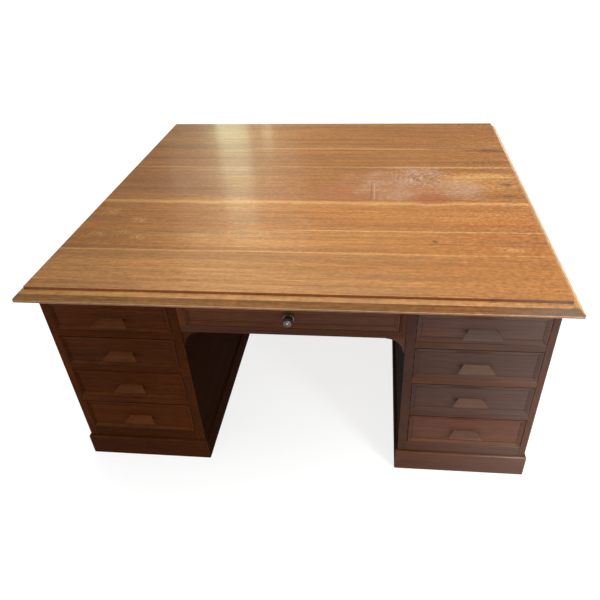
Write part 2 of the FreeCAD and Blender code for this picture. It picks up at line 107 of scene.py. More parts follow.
class Signal:
    """A shader socket that takes part in arithmetic: each step adds a Math node to its graph."""

    def __init__(self, graph: "Graph", socket: bpy.types.NodeSocket) -> None:
        """Keeps the socket and the graph that it belongs to."""
        self.graph = graph
        self.socket = socket

    def math(self, operation: str, *terms: "Signal | float") -> "Signal":
        """Adds a Math node of that operation, with signals or numbers for its sockets, in order."""
        return self.graph.node("ShaderNodeMath", {"operation": operation}, dict(enumerate(terms)))

    def __add__(self, other: "Signal | float") -> "Signal":
        """The sum of two values."""
        return self.math("ADD", self, other)

    def __radd__(self, other: float) -> "Signal":
        """The sum, with a number on the left."""
        return self.math("ADD", other, self)

    def __sub__(self, other: "Signal | float") -> "Signal":
        """The difference of two values."""
        return self.math("SUBTRACT", self, other)

    def __rsub__(self, other: float) -> "Signal":
        """The difference, with a number on the left."""
        return self.math("SUBTRACT", other, self)

    def __mul__(self, other: "Signal | float") -> "Signal":
        """The product of two values."""
        return self.math("MULTIPLY", self, other)

    def __rmul__(self, other: float) -> "Signal":
        """The product, with a number on the left."""
        return self.math("MULTIPLY", other, self)

    def __truediv__(self, other: "Signal | float") -> "Signal":
        """The quotient of two values."""
        return self.math("DIVIDE", self, other)

    def __pow__(self, other: "Signal | float") -> "Signal":
        """A value raised to a power."""
        return self.math("POWER", self, other)

    def __abs__(self) -> "Signal":
        """The value without its sign."""
        return self.math("ABSOLUTE", self)

    def larger(self, other: "Signal | float") -> "Signal":
        """The larger of two values."""
        return self.math("MAXIMUM", self, other)

    def ramp(self, low: float, high: float) -> "Signal":
        """A smooth step that is 0 below low and 1 above high."""
        limits = {"Value": self, "From Min": low, "From Max": high, "To Min": 0.0, "To Max": 1.0}
        return self.graph.node("ShaderNodeMapRange", {"interpolation_type": "SMOOTHSTEP"}, limits)

    def near(self, level: float, inner: float, outer: float) -> "Signal":
        """1 where the value is nearer to a level than inner, and 0 where it is further than outer."""
        return 1.0 - abs(self - level).ramp(inner, outer)

    def between(self, start: float, stop: float, fade: float) -> "Signal":
        """1 from start to stop, with a soft fade outside both."""
        return self.ramp(start - fade, start) * (1.0 - self.ramp(stop, stop + fade))


Layer = tuple[Signal, Colour]


class Graph:
    """The node tree of one material."""

    def __init__(self, name: str) -> None:
        """Starts an empty material.

        Args:
            name: the material's name.
        """
        self.material = bpy.data.materials.new(name)
        self.material.use_nodes = True
        self.tree = self.material.node_tree
        self.tree.nodes.clear()

    def add(self, kind: str, settings: Mapping[str, Any], sockets: Mapping[str | int, Any]) -> bpy.types.Node:
        """Adds a node.

        Args:
            kind: the node's type.
            settings: its properties, set before its sockets.
            sockets: values or signals for its input sockets, by name or by place.

        Returns:
            The node.
        """
        made = self.tree.nodes.new(kind)
        for name, value in settings.items():
            setattr(made, name, value)
        for key, value in sockets.items():
            if isinstance(value, Signal):
                self.tree.links.new(value.socket, made.inputs[key])
            else:
                made.inputs[key].default_value = value
        return made

    def node(
        self,
        kind: str,
        settings: Mapping[str, Any],
        sockets: Mapping[str | int, Any],
        output: int | str = 0,
    ) -> Signal:
        """Adds a node and gives one of its outputs, by name or by place."""
        return Signal(self, self.add(kind, settings, sockets).outputs[output])

    def blend(self, factor: Signal | float, first: Any, second: Any, mode: str = "MIX") -> Signal:
        """Mixes two colours.

        Args:
            factor: share of the second colour, 0 to 1.
            first: colour or signal.
            second: colour or signal.
            mode: how the two are mixed.

        Returns:
            The mixed colour.
        """
        colours = [(*c, 1.0) if isinstance(c, tuple) else c for c in (first, second)]
        settings = {"data_type": "RGBA", "blend_type": mode}
        # The colours of a Mix node are its sockets 6 and 7, and the mixed colour is its output 2.
        return self.node("ShaderNodeMix", settings, {0: factor, 6: colours[0], 7: colours[1]}, 2)

    def layered(self, ground: Any, layers: Iterable[Layer]) -> Any:
        """Lays colours over a ground.

        Args:
            ground: colour or signal.
            layers: the share and the colour of each layer, from the lowest up.

        Returns:
            The colour signal.
        """
        for share, colour in layers:
            ground = self.blend(share, ground, colour)
        return ground

    def parts(self, vector: Signal) -> tuple[Signal, ...]:
        """The three parts of a vector."""
        made = self.add("ShaderNodeSeparateXYZ", {}, {0: vector})
        return tuple(Signal(self, output) for output in made.outputs)

    def place(self) -> Signal:
        """The place of a point in the desk's frame, in metres."""
        return self.node("ShaderNodeTexCoord", {}, {}, "Object")

    def attribute(self, name: str, output: str = "Fac") -> Signal:
        """A named attribute of the mesh, as a number or, with the output Vector, as a vector."""
        settings = {"attribute_type": "GEOMETRY", "attribute_name": name}
        return self.node("ShaderNodeAttribute", settings, {}, output)

    def bump(self, strength: float, depth: float, height: Signal) -> Signal:
        """The normal of a surface with a fine relief."""
        return self.node("ShaderNodeBump", {}, {"Strength": strength, "Distance": depth, "Height": height})

    def finish(self, sockets: Mapping[str, Any]) -> bpy.types.Material:
        """Closes the graph with a surface shader.

        Args:
            sockets: values or signals for the surface shader's sockets.

        Returns:
            The finished material.
        """
        surface = self.node("ShaderNodeBsdfPrincipled", {}, sockets)
        self.add("ShaderNodeOutputMaterial", {}, {"Surface": surface})
        return self.material


@dataclass(frozen=True)
class Pattern:
    """A noise: features per metre along each axis, finer layers, the levels of its step, and its twist."""

    by: Triple
    detail: float = 2.0
    step: Span = (0.0, 1.0)
    twist: float = 0.0

    def raw(self, where: Signal) -> Signal:
        """Adds the noise.

        Args:
            where: place on the surface, as a vector.

        Returns:
            A value near 0.5 that goes from about 0.2 to about 0.8.
        """
        graph = where.graph
        vector = graph.node("ShaderNodeVectorMath", {"operation": "MULTIPLY"}, {0: where, 1: self.by})
        sockets = {"Vector": vector, "Scale": 1.0, "Detail": self.detail, "Distortion": self.twist}
        return graph.node("ShaderNodeTexNoise", {}, sockets)

    def offset(self, where: Signal) -> Signal:
        """The noise as a value round 0."""
        return self.raw(where) - NOISE_MIDDLE

    def shown(self, where: Signal) -> Signal:
        """The noise as a smooth step from 0 to 1."""
        return self.raw(where).ramp(*self.step)

    def lines(self, where: Signal) -> Signal:
        """Thin winding lines, where the noise crosses its middle."""
        return self.raw(where).near(NOISE_MIDDLE, *self.step)


class Cut(Enum):
    """How a board was sawn from the log, which decides the figure on its face."""

    QUARTER = "quarter"
    PLAIN = "plain"


@dataclass(frozen=True)
class BoardStyle:
    """The looks of one board: tone, redness, ray fleck, polish, and dust with painted sheen, about 0 to 1,
    and its cut.

    The grey of the dust and the painted sheen grows towards the right end of a long board.
    """

    tone: float = 0.5
    redness: float = 0.5
    fleck: float = 0.3
    polish: float = 0.0
    dust_and_sheen: float = 0.0
    cut: Cut = Cut.QUARTER

    def varied(
        self,
        chance: random.Random,
        tone: float = 0.12,
        redness: float = 0.12,
        fleck: Span = (0.4, 1.4),
    ) -> "BoardStyle":
        """A board that differs a little from this one.

        Args:
            chance: seeded source of the difference.
            tone: most that the tone may differ.
            redness: most that the redness may differ.
            fleck: least and most that the ray fleck is multiplied by.

        Returns:
            The other board's style.
        """
        return replace(
            self,
            tone=self.tone + chance.uniform(-tone, tone),
            redness=self.redness + chance.uniform(-redness, redness),
            fleck=self.fleck * chance.uniform(*fleck),
        )


@dataclass(frozen=True)
class Figure:
    """What the grain of a board gives its finish, as signals from about 0 to 1."""

    tone: Signal
    redness: Signal
    cloud: Signal
    bands: Signal
    lines: Signal
    streaks: Signal
    dashes: Signal
    pores: Signal
    flecks: Signal
    grit: Signal
    # The mark of wear is real wear on eased edges and a painted highlight on some faces; the darkening mark
    # is painted shade on the oak and tarnish on the metal.
    wear_and_highlight: Signal
    shade_and_grime: Signal


@dataclass(frozen=True)
class Grain:
    """The patterns that show in oak, such as rings, pores and rays: along, across and through a board."""

    sway: Pattern = Pattern((0.9, 5.0, 5.0))
    sway_reach: float = 0.022
    ring_scale: float = 210.0
    ring_detail: float = 4.0
    ring_roughness: float = 0.66
    ring_step: Span = (0.46, 0.74)
    cloud: Pattern = Pattern((0.8, 4.0, 4.0), 3.0, (0.28, 0.72))
    bands: Pattern = Pattern((0.7, 17.0, 17.0), 3.0, (0.44, 0.72))
    streaks: Pattern = Pattern((1.8, 60.0, 60.0), 4.0, (0.40, 0.62))
    dashes: Pattern = Pattern((6.0, 210.0, 210.0), 2.0, (0.58, 0.74))
    pores: Pattern = Pattern((60.0, 1300.0, 1300.0), 1.0, (0.60, 0.72))
    curls: Pattern = Pattern((82.0, 70.0, 70.0), 1.0, (0.02, 0.06))
    breaks: Pattern = Pattern((50.0, 80.0, 80.0), 1.0, (0.47, 0.58))
    clusters: Pattern = Pattern((5.0, 11.0, 11.0), 2.0, (0.40, 0.62))
    grit: Pattern = Pattern((22.0, 260.0, 260.0), 4.0)
    wear_and_highlight_breakup: Pattern = Pattern((14.0, 40.0, 40.0), 2.0, (0.10, 0.50))

    def rings(self, graph: Graph, grain: Signal) -> Signal:
        """The year rings, as bands round the pith of the log.

        Args:
            graph: the material's graph.
            grain: place in the log, as a vector.

        Returns:
            The share of the dark part of the rings.
        """
        _, across, depth = graph.parts(grain)
        radius = (across * across + depth * depth) ** 0.5 + self.sway_reach * self.sway.offset(grain)
        sockets = {
            "W": radius,
            "Scale": self.ring_scale,
            "Detail": self.ring_detail,
            "Roughness": self.ring_roughness,
        }
        return graph.node("ShaderNodeTexNoise", {"noise_dimensions": "1D"}, sockets).ramp(*self.ring_step)

    def figure(self, graph: Graph) -> Figure:
        """Reads the grain of a board and works out its figure.

        Args:
            graph: the material's graph.

        Returns:
            The figure's signals.
        """
        grain = graph.attribute("grain", "Vector")
        tone, redness, fleck = graph.parts(graph.attribute("board", "Vector"))
        rays = self.curls.lines(grain) * self.breaks.shown(grain) * self.clusters.shown(grain)
        return Figure(
            tone=tone,
            redness=redness,
            cloud=self.cloud.shown(grain),
            bands=self.bands.shown(grain),
            lines=self.rings(graph, grain),
            streaks=self.streaks.shown(grain),
            dashes=self.dashes.shown(grain),
            pores=self.pores.shown(grain),
            flecks=rays * fleck,
            grit=self.grit.raw(grain),
            wear_and_highlight=graph.attribute("wear_and_highlight") * self.wear_and_highlight_breakup.shown(grain),
            shade_and_grime=graph.attribute("shade_and_grime"),
        )


@dataclass(frozen=True)
class OakFinish:
    """Oiled and waxed oak, in colours of its own."""

    name: str
    pale: Colour
    deep: Colour
    red: Colour
    line: Colour
    smoky: Colour
    ray: Colour
    # Grey of dust and of painted sheen, a painted reflection of the pale floor.
    dust_and_sheen_grey: Colour = (0.105, 0.080, 0.070)
    grain: Grain = Grain()
    red_share: float = 0.85
    band_share: float = 0.4
    streak_share: float = 0.25
    line_share: float = 0.5
    ring_part: float = 0.7
    pore_part: float = 0.5
    fleck_share: float = 0.5
    wear_and_highlight_share: float = 0.35
    grit_share: float = 1.2
    shade_and_grime_share: float = 0.75
    darkest: float = 0.62
    lightening: float = 0.76
    roughness: float = 0.42
    pore_dulling: float = 0.14
    cloud_dulling: float = 0.09
    fleck_shine: float = 0.1
    shade_and_grime_dulling: float = 0.55
    cloud_loss: float = 0.3
    line_loss: float = 0.45
    specular: float = 0.35
    coat_roughness: float = 0.3
    relief: float = 0.25
    relief_depth: float = 0.0006
    fleck_rise: float = 0.4
    pore_drop: float = 0.6
    line_drop: float = 0.5
    wave: float = 0.0

    def colour(self, graph: Graph, figure: Figure) -> Signal:
        """The wood's colour, darkened by painted shade where marked, and greyed by dust and painted sheen.

        Args:
            graph: the material's graph.
            figure: the board's figure.

        Returns:
            The colour signal.
        """
        layers = (
            (figure.cloud, self.deep),
            (figure.redness * self.red_share, self.red),
            (figure.bands * self.band_share, self.smoky),
            (figure.streaks * self.streak_share, self.line),
            (figure.dashes * self.line_share, self.line),
            (figure.lines * (self.ring_part * self.line_share), self.line),
            (figure.pores * (self.pore_part * self.line_share), self.line),
            (figure.flecks * self.fleck_share, self.ray),
            (figure.wear_and_highlight * self.wear_and_highlight_share, self.ray),
        )
        ground = graph.layered(self.pale, layers)
        shade = self.darkest + self.lightening * figure.tone
        speckled = 1.0 + self.grit_share * (figure.grit - NOISE_MIDDLE)
        # On the oak the darkening mark is painted shade: it darkens the colour.
        undarkened = 1.0 - self.shade_and_grime_share * figure.shade_and_grime
        ground = graph.blend(1.0, ground, shade * speckled * undarkened, "MULTIPLY")
        return graph.blend(graph.attribute("dust_and_sheen") * undarkened, ground, self.dust_and_sheen_grey)

    def gloss(self, figure: Figure) -> Signal:
        """How rough the waxed surface is: dull in the pores and under painted shade, brighter on the flecks.
        """
        worked = self.roughness + self.pore_dulling * figure.pores + self.cloud_dulling * figure.cloud
        return worked - self.fleck_shine * figure.flecks + self.shade_and_grime_dulling * figure.shade_and_grime

    def sheen(self, figure: Figure) -> Signal:
        """How much of the polish is left: less on clouded parts, dark lines and under painted shade."""
        kept = (1.0 - self.cloud_loss * figure.cloud) * (1.0 - self.line_loss * figure.lines)
        return kept * (1.0 - figure.shade_and_grime)

    def height(self, figure: Figure) -> Signal:
        """The relief of the surface: flecks stand up, and pores and dark lines lie low."""
        hollow = figure.pores * self.pore_drop + (figure.lines + figure.streaks) * self.line_drop
        return figure.flecks * self.fleck_rise - hollow + figure.bands * self.wave

    def material(self) -> bpy.types.Material:
        """Makes the finish.

        Returns:
            Its material.
        """
        graph = Graph(self.name)
        figure = self.grain.figure(graph)
        return graph.finish(
            {
                "Base Color": self.colour(graph, figure),
                "Roughness": self.gloss(figure),
                "Specular IOR Level": self.specular,
                "Coat Weight": graph.attribute("polish") * self.sheen(figure),
                "Coat Roughness": self.coat_roughness,
                "Normal": graph.bump(self.relief, self.relief_depth, self.height(figure)),
            }
        )


@dataclass(frozen=True)
class Site:
    """Where on the top a point lies, as signals.

    The place is a vector. The height is counted from the foot of the moulding, ragged is a noise that
    frays marks, boards is 1 on the boards and 0 on the moulding, and leftward and rightward go from 0
    to 1 towards the ends.
    """

    place: Signal
    x: Signal
    y: Signal
    height: Signal
    ragged: Signal
    boards: Signal
    leftward: Signal
    rightward: Signal


@dataclass(frozen=True)
class SapStripe:
    """A pale stripe of sapwood along a joint of the top: its place, width and reach, in metres."""

    joint: float
    width: float
    start: float
    stop: float
    share: float
    wander: float = 0.9
    thinnest: float = 0.35
    edge: Span = (0.25, 0.75)
    fade: float = 0.12

    def mask(self, site: Site, patch: Signal) -> Signal:
        """Where the stripe shows.

        Args:
            site: place on the top.
            patch: noise along the boards that makes the stripe come and go.

        Returns:
            The stripe's share at each place.
        """
        wander = (patch - NOISE_MIDDLE) * (self.wander * self.width)
        from_joint = abs(site.y - self.joint + wander)
        inner, outer = (part * self.width for part in self.edge)
        breadth = 1.0 - (from_joint / (self.thinnest + patch)).ramp(inner, outer)
        return breadth * site.x.between(self.start, self.stop, self.fade) * self.share


@dataclass(frozen=True)
class Spot:
    """A mark in the top: its place and its half length and half width, in metres, and how it frays."""

    place: Span
    reach: Span
    fray: float = 1.4
    edge: Span = (0.3, 1.0)

    def mask(self, site: Site, ragged: Signal | None = None) -> Signal:
        """Where the mark shows.

        Args:
            site: place on the top.
            ragged: noise that frays its edge, or none for the one that comes with the site.

        Returns:
            The mark's share at each place.
        """
        off_x = (site.x - self.place[0]) / self.reach[0]
        off_y = (site.y - self.place[1]) / self.reach[1]
        distance = (off_x * off_x + off_y * off_y) ** 0.5
        frayed = self.fray * ((ragged or site.ragged) - NOISE_MIDDLE)
        return 1.0 - (distance + frayed).ramp(*self.edge)


@dataclass(frozen=True)
class Scratch:
    """A fine scratch across the boards: its place along them, its span and its half width, in metres."""

    place: float
    span: Span
    width: float
    edge: Span = (0.4, 1.4)
    fade: float = 0.01

    def mask(self, site: Site) -> Signal:
        """Where the scratch shows."""
        inner, outer = (part * self.width for part in self.edge)
        return site.x.near(self.place, inner, outer) * site.y.between(*self.span, self.fade)


@dataclass(frozen=True)
class RubbedPatch:
    """The place on the top that use has rubbed, with pale scuffs and a scratch in it."""

    area: Spot = Spot((0.37, 0.01), (0.27, 0.19), 1.2, (0.55, 1.05))
    ragged: Pattern = Pattern((12.0, 20.0, 1.0), 4.0)
    haze: Pattern = Pattern((9.0, 16.0, 1.0), 3.0, (0.42, 0.66))
    small: Pattern = Pattern((60.0, 36.0, 1.0), 5.0, (0.52, 0.68))
    loops: Pattern = Pattern((44.0, 24.0, 1.0), 1.0, (0.02, 0.08))
    strokes: Pattern = Pattern((14.0, 70.0, 1.0), 2.0, (0.56, 0.68), 1.2)
    scratch: Scratch = Scratch(0.240, (-0.12, 0.02), 0.0024)
    bare: float = 0.2
    worked: float = 0.3

    def masks(self, site: Site) -> tuple[Signal, Signal]:
        """Where use has rubbed the top.

        Args:
            site: place on the top.

        Returns:
            The share of the rubbed ground, and the share of the pale scuffs on it.
        """
        inside = self.area.mask(site, self.ragged.raw(site.place))
        haze = self.haze.shown(site.place)
        fine = self.worked * (self.small.shown(site.place) + self.loops.lines(site.place))
        fine = fine * (self.bare + (1.0 - self.bare) * haze)
        scuffs = inside * (self.bare * (1.0 + haze + self.strokes.shown(site.place)) + fine)
        return inside, scuffs.larger(self.scratch.mask(site))


@dataclass(frozen=True)
class TopFinish(OakFinish):
    """The oak of the top, with sapwood along its joints, marks of growth and use, and painted shade and
    highlights on its edge.
    """

    sap: Colour = (0.66, 0.355, 0.112)
    sap_gap: float = 0.4
    along: Pattern = Pattern((7.0, 0.5, 0.5), 3.0)
    stripes: tuple[SapStripe, ...] = (
        SapStripe(0.403, 0.011, -0.25, 0.42, 0.8),
        SapStripe(0.187, 0.012, -0.90, -0.62, 0.6),
        SapStripe(0.187, 0.008, -0.10, 0.40, 0.6),
        SapStripe(0.187, 0.020, 0.35, 0.90, 0.8),
        SapStripe(-0.162, 0.030, -0.90, 0.90, 0.8),
        SapStripe(-0.381, 0.009, 0.05, 0.90, 0.8),
        SapStripe(-0.533, 0.012, -0.90, 0.90, 0.5),
    )
    ragged: Pattern = Pattern((60.0, 160.0, 1.0), 3.0)
    patch: RubbedPatch = RubbedPatch()
    flushed: Colour = (0.42, 0.150, 0.065)
    flush_share: float = 0.2
    red_block: Spot = Spot((0.140, -0.065), (0.140, 0.120))
    block_share: float = 0.5
    rubbed: Colour = (0.50, 0.305, 0.195)
    scuff_share: float = 0.95
    bruised: Colour = (0.34, 0.098, 0.036)
    bruise: Spot = Spot((0.455, -0.157), (0.095, 0.120))
    bruise_edge: float = 0.012
    bruise_share: float = 0.45
    bruise_streaks: float = 0.3
    dull: Spot = Spot((-0.580, 0.020), (0.330, 0.110))
    dull_share: float = 0.45
    amber: Colour = (0.350, 0.132, 0.023)
    amber_corner: Spot = Spot((0.680, -0.660), (0.450, 0.220))
    amber_share: float = 0.55
    etched: Colour = (0.17, 0.085, 0.045)
    chalky: Colour = (0.64, 0.46, 0.33)
    groove: Scratch = Scratch(0.228, (-0.12, 0.03), 0.0040)
    groove_share: float = 0.4
    winding: Pattern = Pattern((46.0, 24.0, 1.0), 1.0, (0.015, 0.05), 0.6)
    squiggles: Spot = Spot((0.430, 0.090), (0.185, 0.135))
    etched_level: float = 0.42
    etched_share: float = 0.4
    chalky_level: float = 0.52
    chalky_share: float = 0.5
    pale_end: Spot = Spot((0.665, 0.050), (0.210, 0.110))
    pale_layers: Pattern = Pattern((2.0, 34.0, 1.0), 2.0, (0.40, 0.60))
    pale_least: float = 0.25
    pale_share: float = 0.7
    hazy_end: Spot = Spot((0.585, -0.030), (0.100, 0.110))
    hazy_share: float = 0.55
    speckled: Spot = Spot((0.620, -0.265), (0.300, 0.080))
    speckles: Pattern = Pattern((130.0, 80.0, 1.0), 2.0, (0.50, 0.66))
    speckle_share: float = 0.4
    curl: Pattern = Pattern((64.0, 40.0, 1.0), 3.0, (0.02, 0.09), 1.5)
    frayed: Pattern = Pattern((56.0, 40.0, 1.0))
    curl_share: float = 0.7
    curls: tuple[Spot, ...] = (
        Spot((-0.719, -0.254), (0.040, 0.030)),
        Spot((-0.592, -0.312), (0.050, 0.028)),
        Spot((-0.704, -0.427), (0.040, 0.022)),
        Spot((-0.622, -0.413), (0.035, 0.022)),
        Spot((-0.553, -0.449), (0.040, 0.024)),
        Spot((-0.341, -0.426), (0.040, 0.020)),
        Spot((-0.250, -0.406), (0.035, 0.018)),
        Spot((-0.117, -0.413), (0.035, 0.020)),
        Spot((0.673, -0.492), (0.060, 0.016)),
    )
    knot: Colour = (0.085, 0.045, 0.024)
    knot_share: float = 0.6
    knots: tuple[Spot, ...] = (
        Spot((0.441, -0.448), (0.012, 0.014)),
        Spot((0.746, 0.014), (0.034, 0.022)),
        Spot((0.735, -0.092), (0.030, 0.012)),
        Spot((0.715, 0.385), (0.120, 0.018)),
    )
    polished: Span = (0.1, 0.2)
    left_end: Span = (-0.85, -0.05)
    # Painted shade: the left end is darker, and the painted shade on the riser and under the moulding is
    # lighter at the left and deeper at the right.
    left_end_shade: float = 0.40
    left_shade_easing: float = 0.40
    right_end: Span = (0.30, 0.85)
    right_end_shade: float = 0.40
    slope_dimming: float = 0.28
    warm_end: Span = (0.15, 0.80)
    warm_front: Span = (-0.45, -0.15)
    warm_share: float = 0.75
    warm_fall: float = 0.6
    specks: Pattern = Pattern((62.0, 95.0, 95.0), 3.0)
    speck_share: float = 1.6
    left_specks: float = 0.4
    # Painted shade at the foot of the moulding's upright edge, and a painted highlight on the arris above it.
    foot_top: Span = (0.0040, 0.0055)
    foot_shade: float = 0.45
    arris_top: Span = (0.0070, 0.0088)
    arris_share: float = 0.75
    arris_fall: float = 0.7
    # Russet colour of the painted shade on the riser of the boards.
    riser_shade: Colour = (0.240, 0.055, 0.014)
    riser_shade_share: float = 0.85
    # Painted highlight on the right side bevel of the moulding, as lit from the right.
    gleam: Colour = (0.92, 0.74, 0.46)
    gleam_start: Span = (0.8085, 0.8105)
    gleam_foot: Span = (0.0105, 0.0125)
    gleam_share: float = 0.35
    mitre: Span = (0.0280, 0.0300)
    # Grey over the painted shade of the riser and the moulding, growing towards the right end.
    misted: Colour = (0.18, 0.155, 0.128)
    mist_end: Span = (0.50, 0.80)
    mist_share: float = 0.7

    def site(self, graph: Graph) -> Site:
        """Reads where on the top a point lies.

        Args:
            graph: the material's graph.

        Returns:
            The place's signals.
        """
        place = graph.place()
        x, y, z = graph.parts(place)
        return Site(
            place=place,
            x=x,
            y=y,
            height=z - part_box("top_edge_moulding")[0][2],
            ragged=self.ragged.raw(place),
            boards=graph.attribute("polish").ramp(*self.polished),
            leftward=1.0 - x.ramp(*self.left_end),
            rightward=x.ramp(*self.right_end),
        )

    @staticmethod
    def any_of(masks: Iterable[Signal]) -> Signal:
        """Where any of some marks shows.

        Args:
            masks: the share of each mark.

        Returns:
            The largest share at each place.
        """
        shown, *others = masks
        for mask in others:
            shown = shown.larger(mask)
        return shown

    def sapwood(self, site: Site, figure: Figure) -> Iterator[Layer]:
        """The pale stripes along the joints of the boards.

        Args:
            site: place on the top.
            figure: the board's figure.

        Returns:
            Their layer.
        """
        patch = self.along.raw(site.place)
        stripes = self.any_of(stripe.mask(site, patch) for stripe in self.stripes)
        yield stripes * site.boards * (1.0 - self.sap_gap * figure.lines), self.sap

    def stains(self, site: Site, figure: Figure) -> Iterator[Layer]:
        """The rubbed patch, the bruise beside it, and the areas that have faded or darkened.

        Args:
            site: place on the top.
            figure: the board's figure.

        Returns:
            The layers, from the lowest up.
        """
        front = self.bruise.place[1]
        bruise = self.bruise.mask(site) * site.y.ramp(front - self.bruise_edge, front)
        inside, scuffs = self.patch.masks(site)
        block = self.red_block.mask(site) * self.block_share
        yield (inside * self.flush_share).larger(block), self.flushed
        yield scuffs * self.scuff_share * (1.0 - bruise), self.rubbed
        yield bruise * (self.bruise_share + self.bruise_streaks * figure.streaks), self.bruised
        yield self.dull.mask(site) * self.dull_share, self.smoky
        amber = self.amber_corner.mask(site)
        yield amber * site.boards * self.amber_share, self.amber

    def marks(self, site: Site) -> Iterator[Layer]:
        """The groove, the squiggles, the pale end of a board, the speckles, the curls and the knots.

        Args:
            site: place on the top.

        Returns:
            The layers, from the lowest up.
        """
        yield self.groove.mask(site) * self.groove_share, self.etched
        winding = self.winding.raw(site.place)
        region = self.squiggles.mask(site)
        yield winding.near(self.etched_level, *self.winding.step) * region * self.etched_share, self.etched
        yield winding.near(self.chalky_level, *self.winding.step) * region * self.chalky_share, self.chalky
        layered = self.pale_least + self.pale_share * self.pale_layers.shown(site.place)
        yield self.pale_end.mask(site) * layered, self.sap
        yield self.hazy_end.mask(site) * self.hazy_share, self.rubbed
        speckled = self.speckled.mask(site)
        yield self.speckles.shown(site.place) * speckled * self.speckle_share, self.ray
        frayed = self.frayed.raw(site.place)
        curls = self.any_of(spot.mask(site, frayed) for spot in self.curls)
        yield self.curl.lines(site.place) * curls * self.curl_share, self.ray
        knots = self.any_of(spot.mask(site) for spot in self.knots)
        yield knots * self.knot_share, self.knot

    def edges(self, site: Site, figure: Figure, arris: Signal) -> Iterator[Layer]:
        """The painted shade on the riser of the boards, and the painted highlights on the arris and on the
        right side bevel of the moulding.

        Args:
            site: place on the top.
            figure: the board's figure.
            arris: share of the arris.

        Returns:
            The layers, from the lowest up.
        """
        yield figure.shade_and_grime * site.boards * self.riser_shade_share, self.riser_shade
        yield arris * self.arris_share * (1.0 - self.arris_fall * site.leftward), self.chalky
        side = (1.0 - site.boards) * (site.x + site.y).ramp(*self.mitre)
        bevel = site.x.ramp(*self.gleam_start) * site.height.ramp(*self.gleam_foot) * side
        yield bevel * self.gleam_share, self.gleam

    def dimming(self, site: Site, figure: Figure) -> Signal:
        """How much of its brightness the wood keeps: less at the ends, as painted shade, and unevenly towards
        the right.

        Args:
            site: place on the top.
            figure: the board's figure.

        Returns:
            A factor for the colour.
        """
        kept = 1.0 - self.left_end_shade * site.leftward
        kept = kept * (1.0 + self.left_shade_easing * figure.shade_and_grime * site.leftward)
        kept = kept * (1.0 - self.right_end_shade * figure.shade_and_grime * site.rightward)
        kept = kept * (1.0 - self.slope_dimming * figure.wear_and_highlight * site.rightward)
        specks = self.speck_share * self.specks.offset(site.place)
        return kept * (1.0 + specks * (self.left_specks + (1.0 - self.left_specks) * site.rightward))

    def colour(self, graph: Graph, figure: Figure) -> Signal:
        """The wood's colour, with the sapwood, the marks, and the painted shade and highlights of the edge on
        it.

        Args:
            graph: the material's graph.
            figure: the board's figure.

        Returns:
            The colour signal.
        """
        site = self.site(graph)
        # The foot of the upright edge takes more painted shade, and the arris above it a painted highlight in
        # place of shade.
        above_foot = site.height.ramp(*self.foot_top)
        arris = above_foot * (1.0 - site.height.ramp(*self.arris_top)) * figure.shade_and_grime
        shade_and_grime = figure.shade_and_grime * (1.0 + self.foot_shade * (1.0 - above_foot)) - arris
        warm = site.x.ramp(*self.warm_end) * (1.0 - self.warm_fall * site.y.ramp(*self.warm_front))
        figure = replace(figure, shade_and_grime=shade_and_grime, redness=figure.redness + self.warm_share * warm)
        layers = (
            *self.sapwood(site, figure),
            *self.stains(site, figure),
            *self.marks(site),
            *self.edges(site, figure, arris),
        )
        ground = graph.layered(super().colour(graph, figure), layers)
        ground = graph.blend(1.0, ground, self.dimming(site, figure), "MULTIPLY")
        # The painted shade turns greyer towards the right end.
        mist = figure.shade_and_grime * site.x.ramp(*self.mist_end) * self.mist_share
        return graph.blend(mist, ground, self.misted)


@dataclass(frozen=True)
class MetalFinish:
    """A worked metal with a tarnish in its hollows."""

    name: str
    bright: Colour
    tarnish: Colour
    rubbed: Colour
    roughness: float
    mottle: Pattern = Pattern((160.0, 160.0, 160.0), 4.0, (0.38, 0.70))
    fine: Pattern = Pattern((1500.0, 1500.0, 1500.0))
    tarnish_share: float = 0.5
    rubbed_and_highlight_share: float = 0.7
    mottle_loss: float = 0.6
    shade_and_grime_share: float = 0.8
    dulling: float = 0.22
    relief: float = 0.15
    relief_depth: float = 0.0003

    def material(self) -> bpy.types.Material:
        """Makes the finish.

        Returns:
            Its material.
        """
        graph = Graph(self.name)
        place = graph.place()
        mottle = self.mottle.shown(place)
        # The mark of wear pales rubbed edges and the lock's core, and is a painted highlight on the rose's
        # rim.
        wear_and_highlight_breakup = graph.attribute("wear_and_highlight") * (1.0 - self.mottle_loss * mottle)
        layers = (
            (mottle * self.tarnish_share, self.tarnish),
            (wear_and_highlight_breakup * self.rubbed_and_highlight_share, self.rubbed),
            (graph.attribute("shade_and_grime") * self.shade_and_grime_share, self.tarnish),
        )
        return graph.finish(
            {
                "Base Color": graph.layered(self.bright, layers),
                "Metallic": 1.0,
                "Roughness": self.roughness + self.dulling * mottle,
                "Normal": graph.bump(self.relief, self.relief_depth, self.fine.raw(place)),
            }
        )


def stand(name: str, data: bpy.types.ID) -> bpy.types.Object:
    """Makes an object of some data and puts it in the scene.

    Args:
        name: the object's name.
        data: its mesh, light or camera.

    Returns:
        The object.
    """
    made = bpy.data.objects.new(name, data)
    bpy.context.scene.collection.objects.link(made)
    return made


@dataclass
class Island:
    """One eased board of a node: its points, and the corners of its box."""

    points: list[bmesh.types.BMVert]
    low: Vector = field(default_factory=Vector)
    high: Vector = field(default_factory=Vector)

    def __post_init__(self) -> None:
        """Measures the box."""
        self.low = Vector([min(p.co[k] for p in self.points) for k in range(3)])
        self.high = Vector([max(p.co[k] for p in self.points) for k in range(3)])

    @property
    def middle(self) -> Vector:
        """The middle of the box."""
        return (self.low + self.high) / 2

    @property
    def size(self) -> Vector:
        """The box's length along each axis."""
        return self.high - self.low


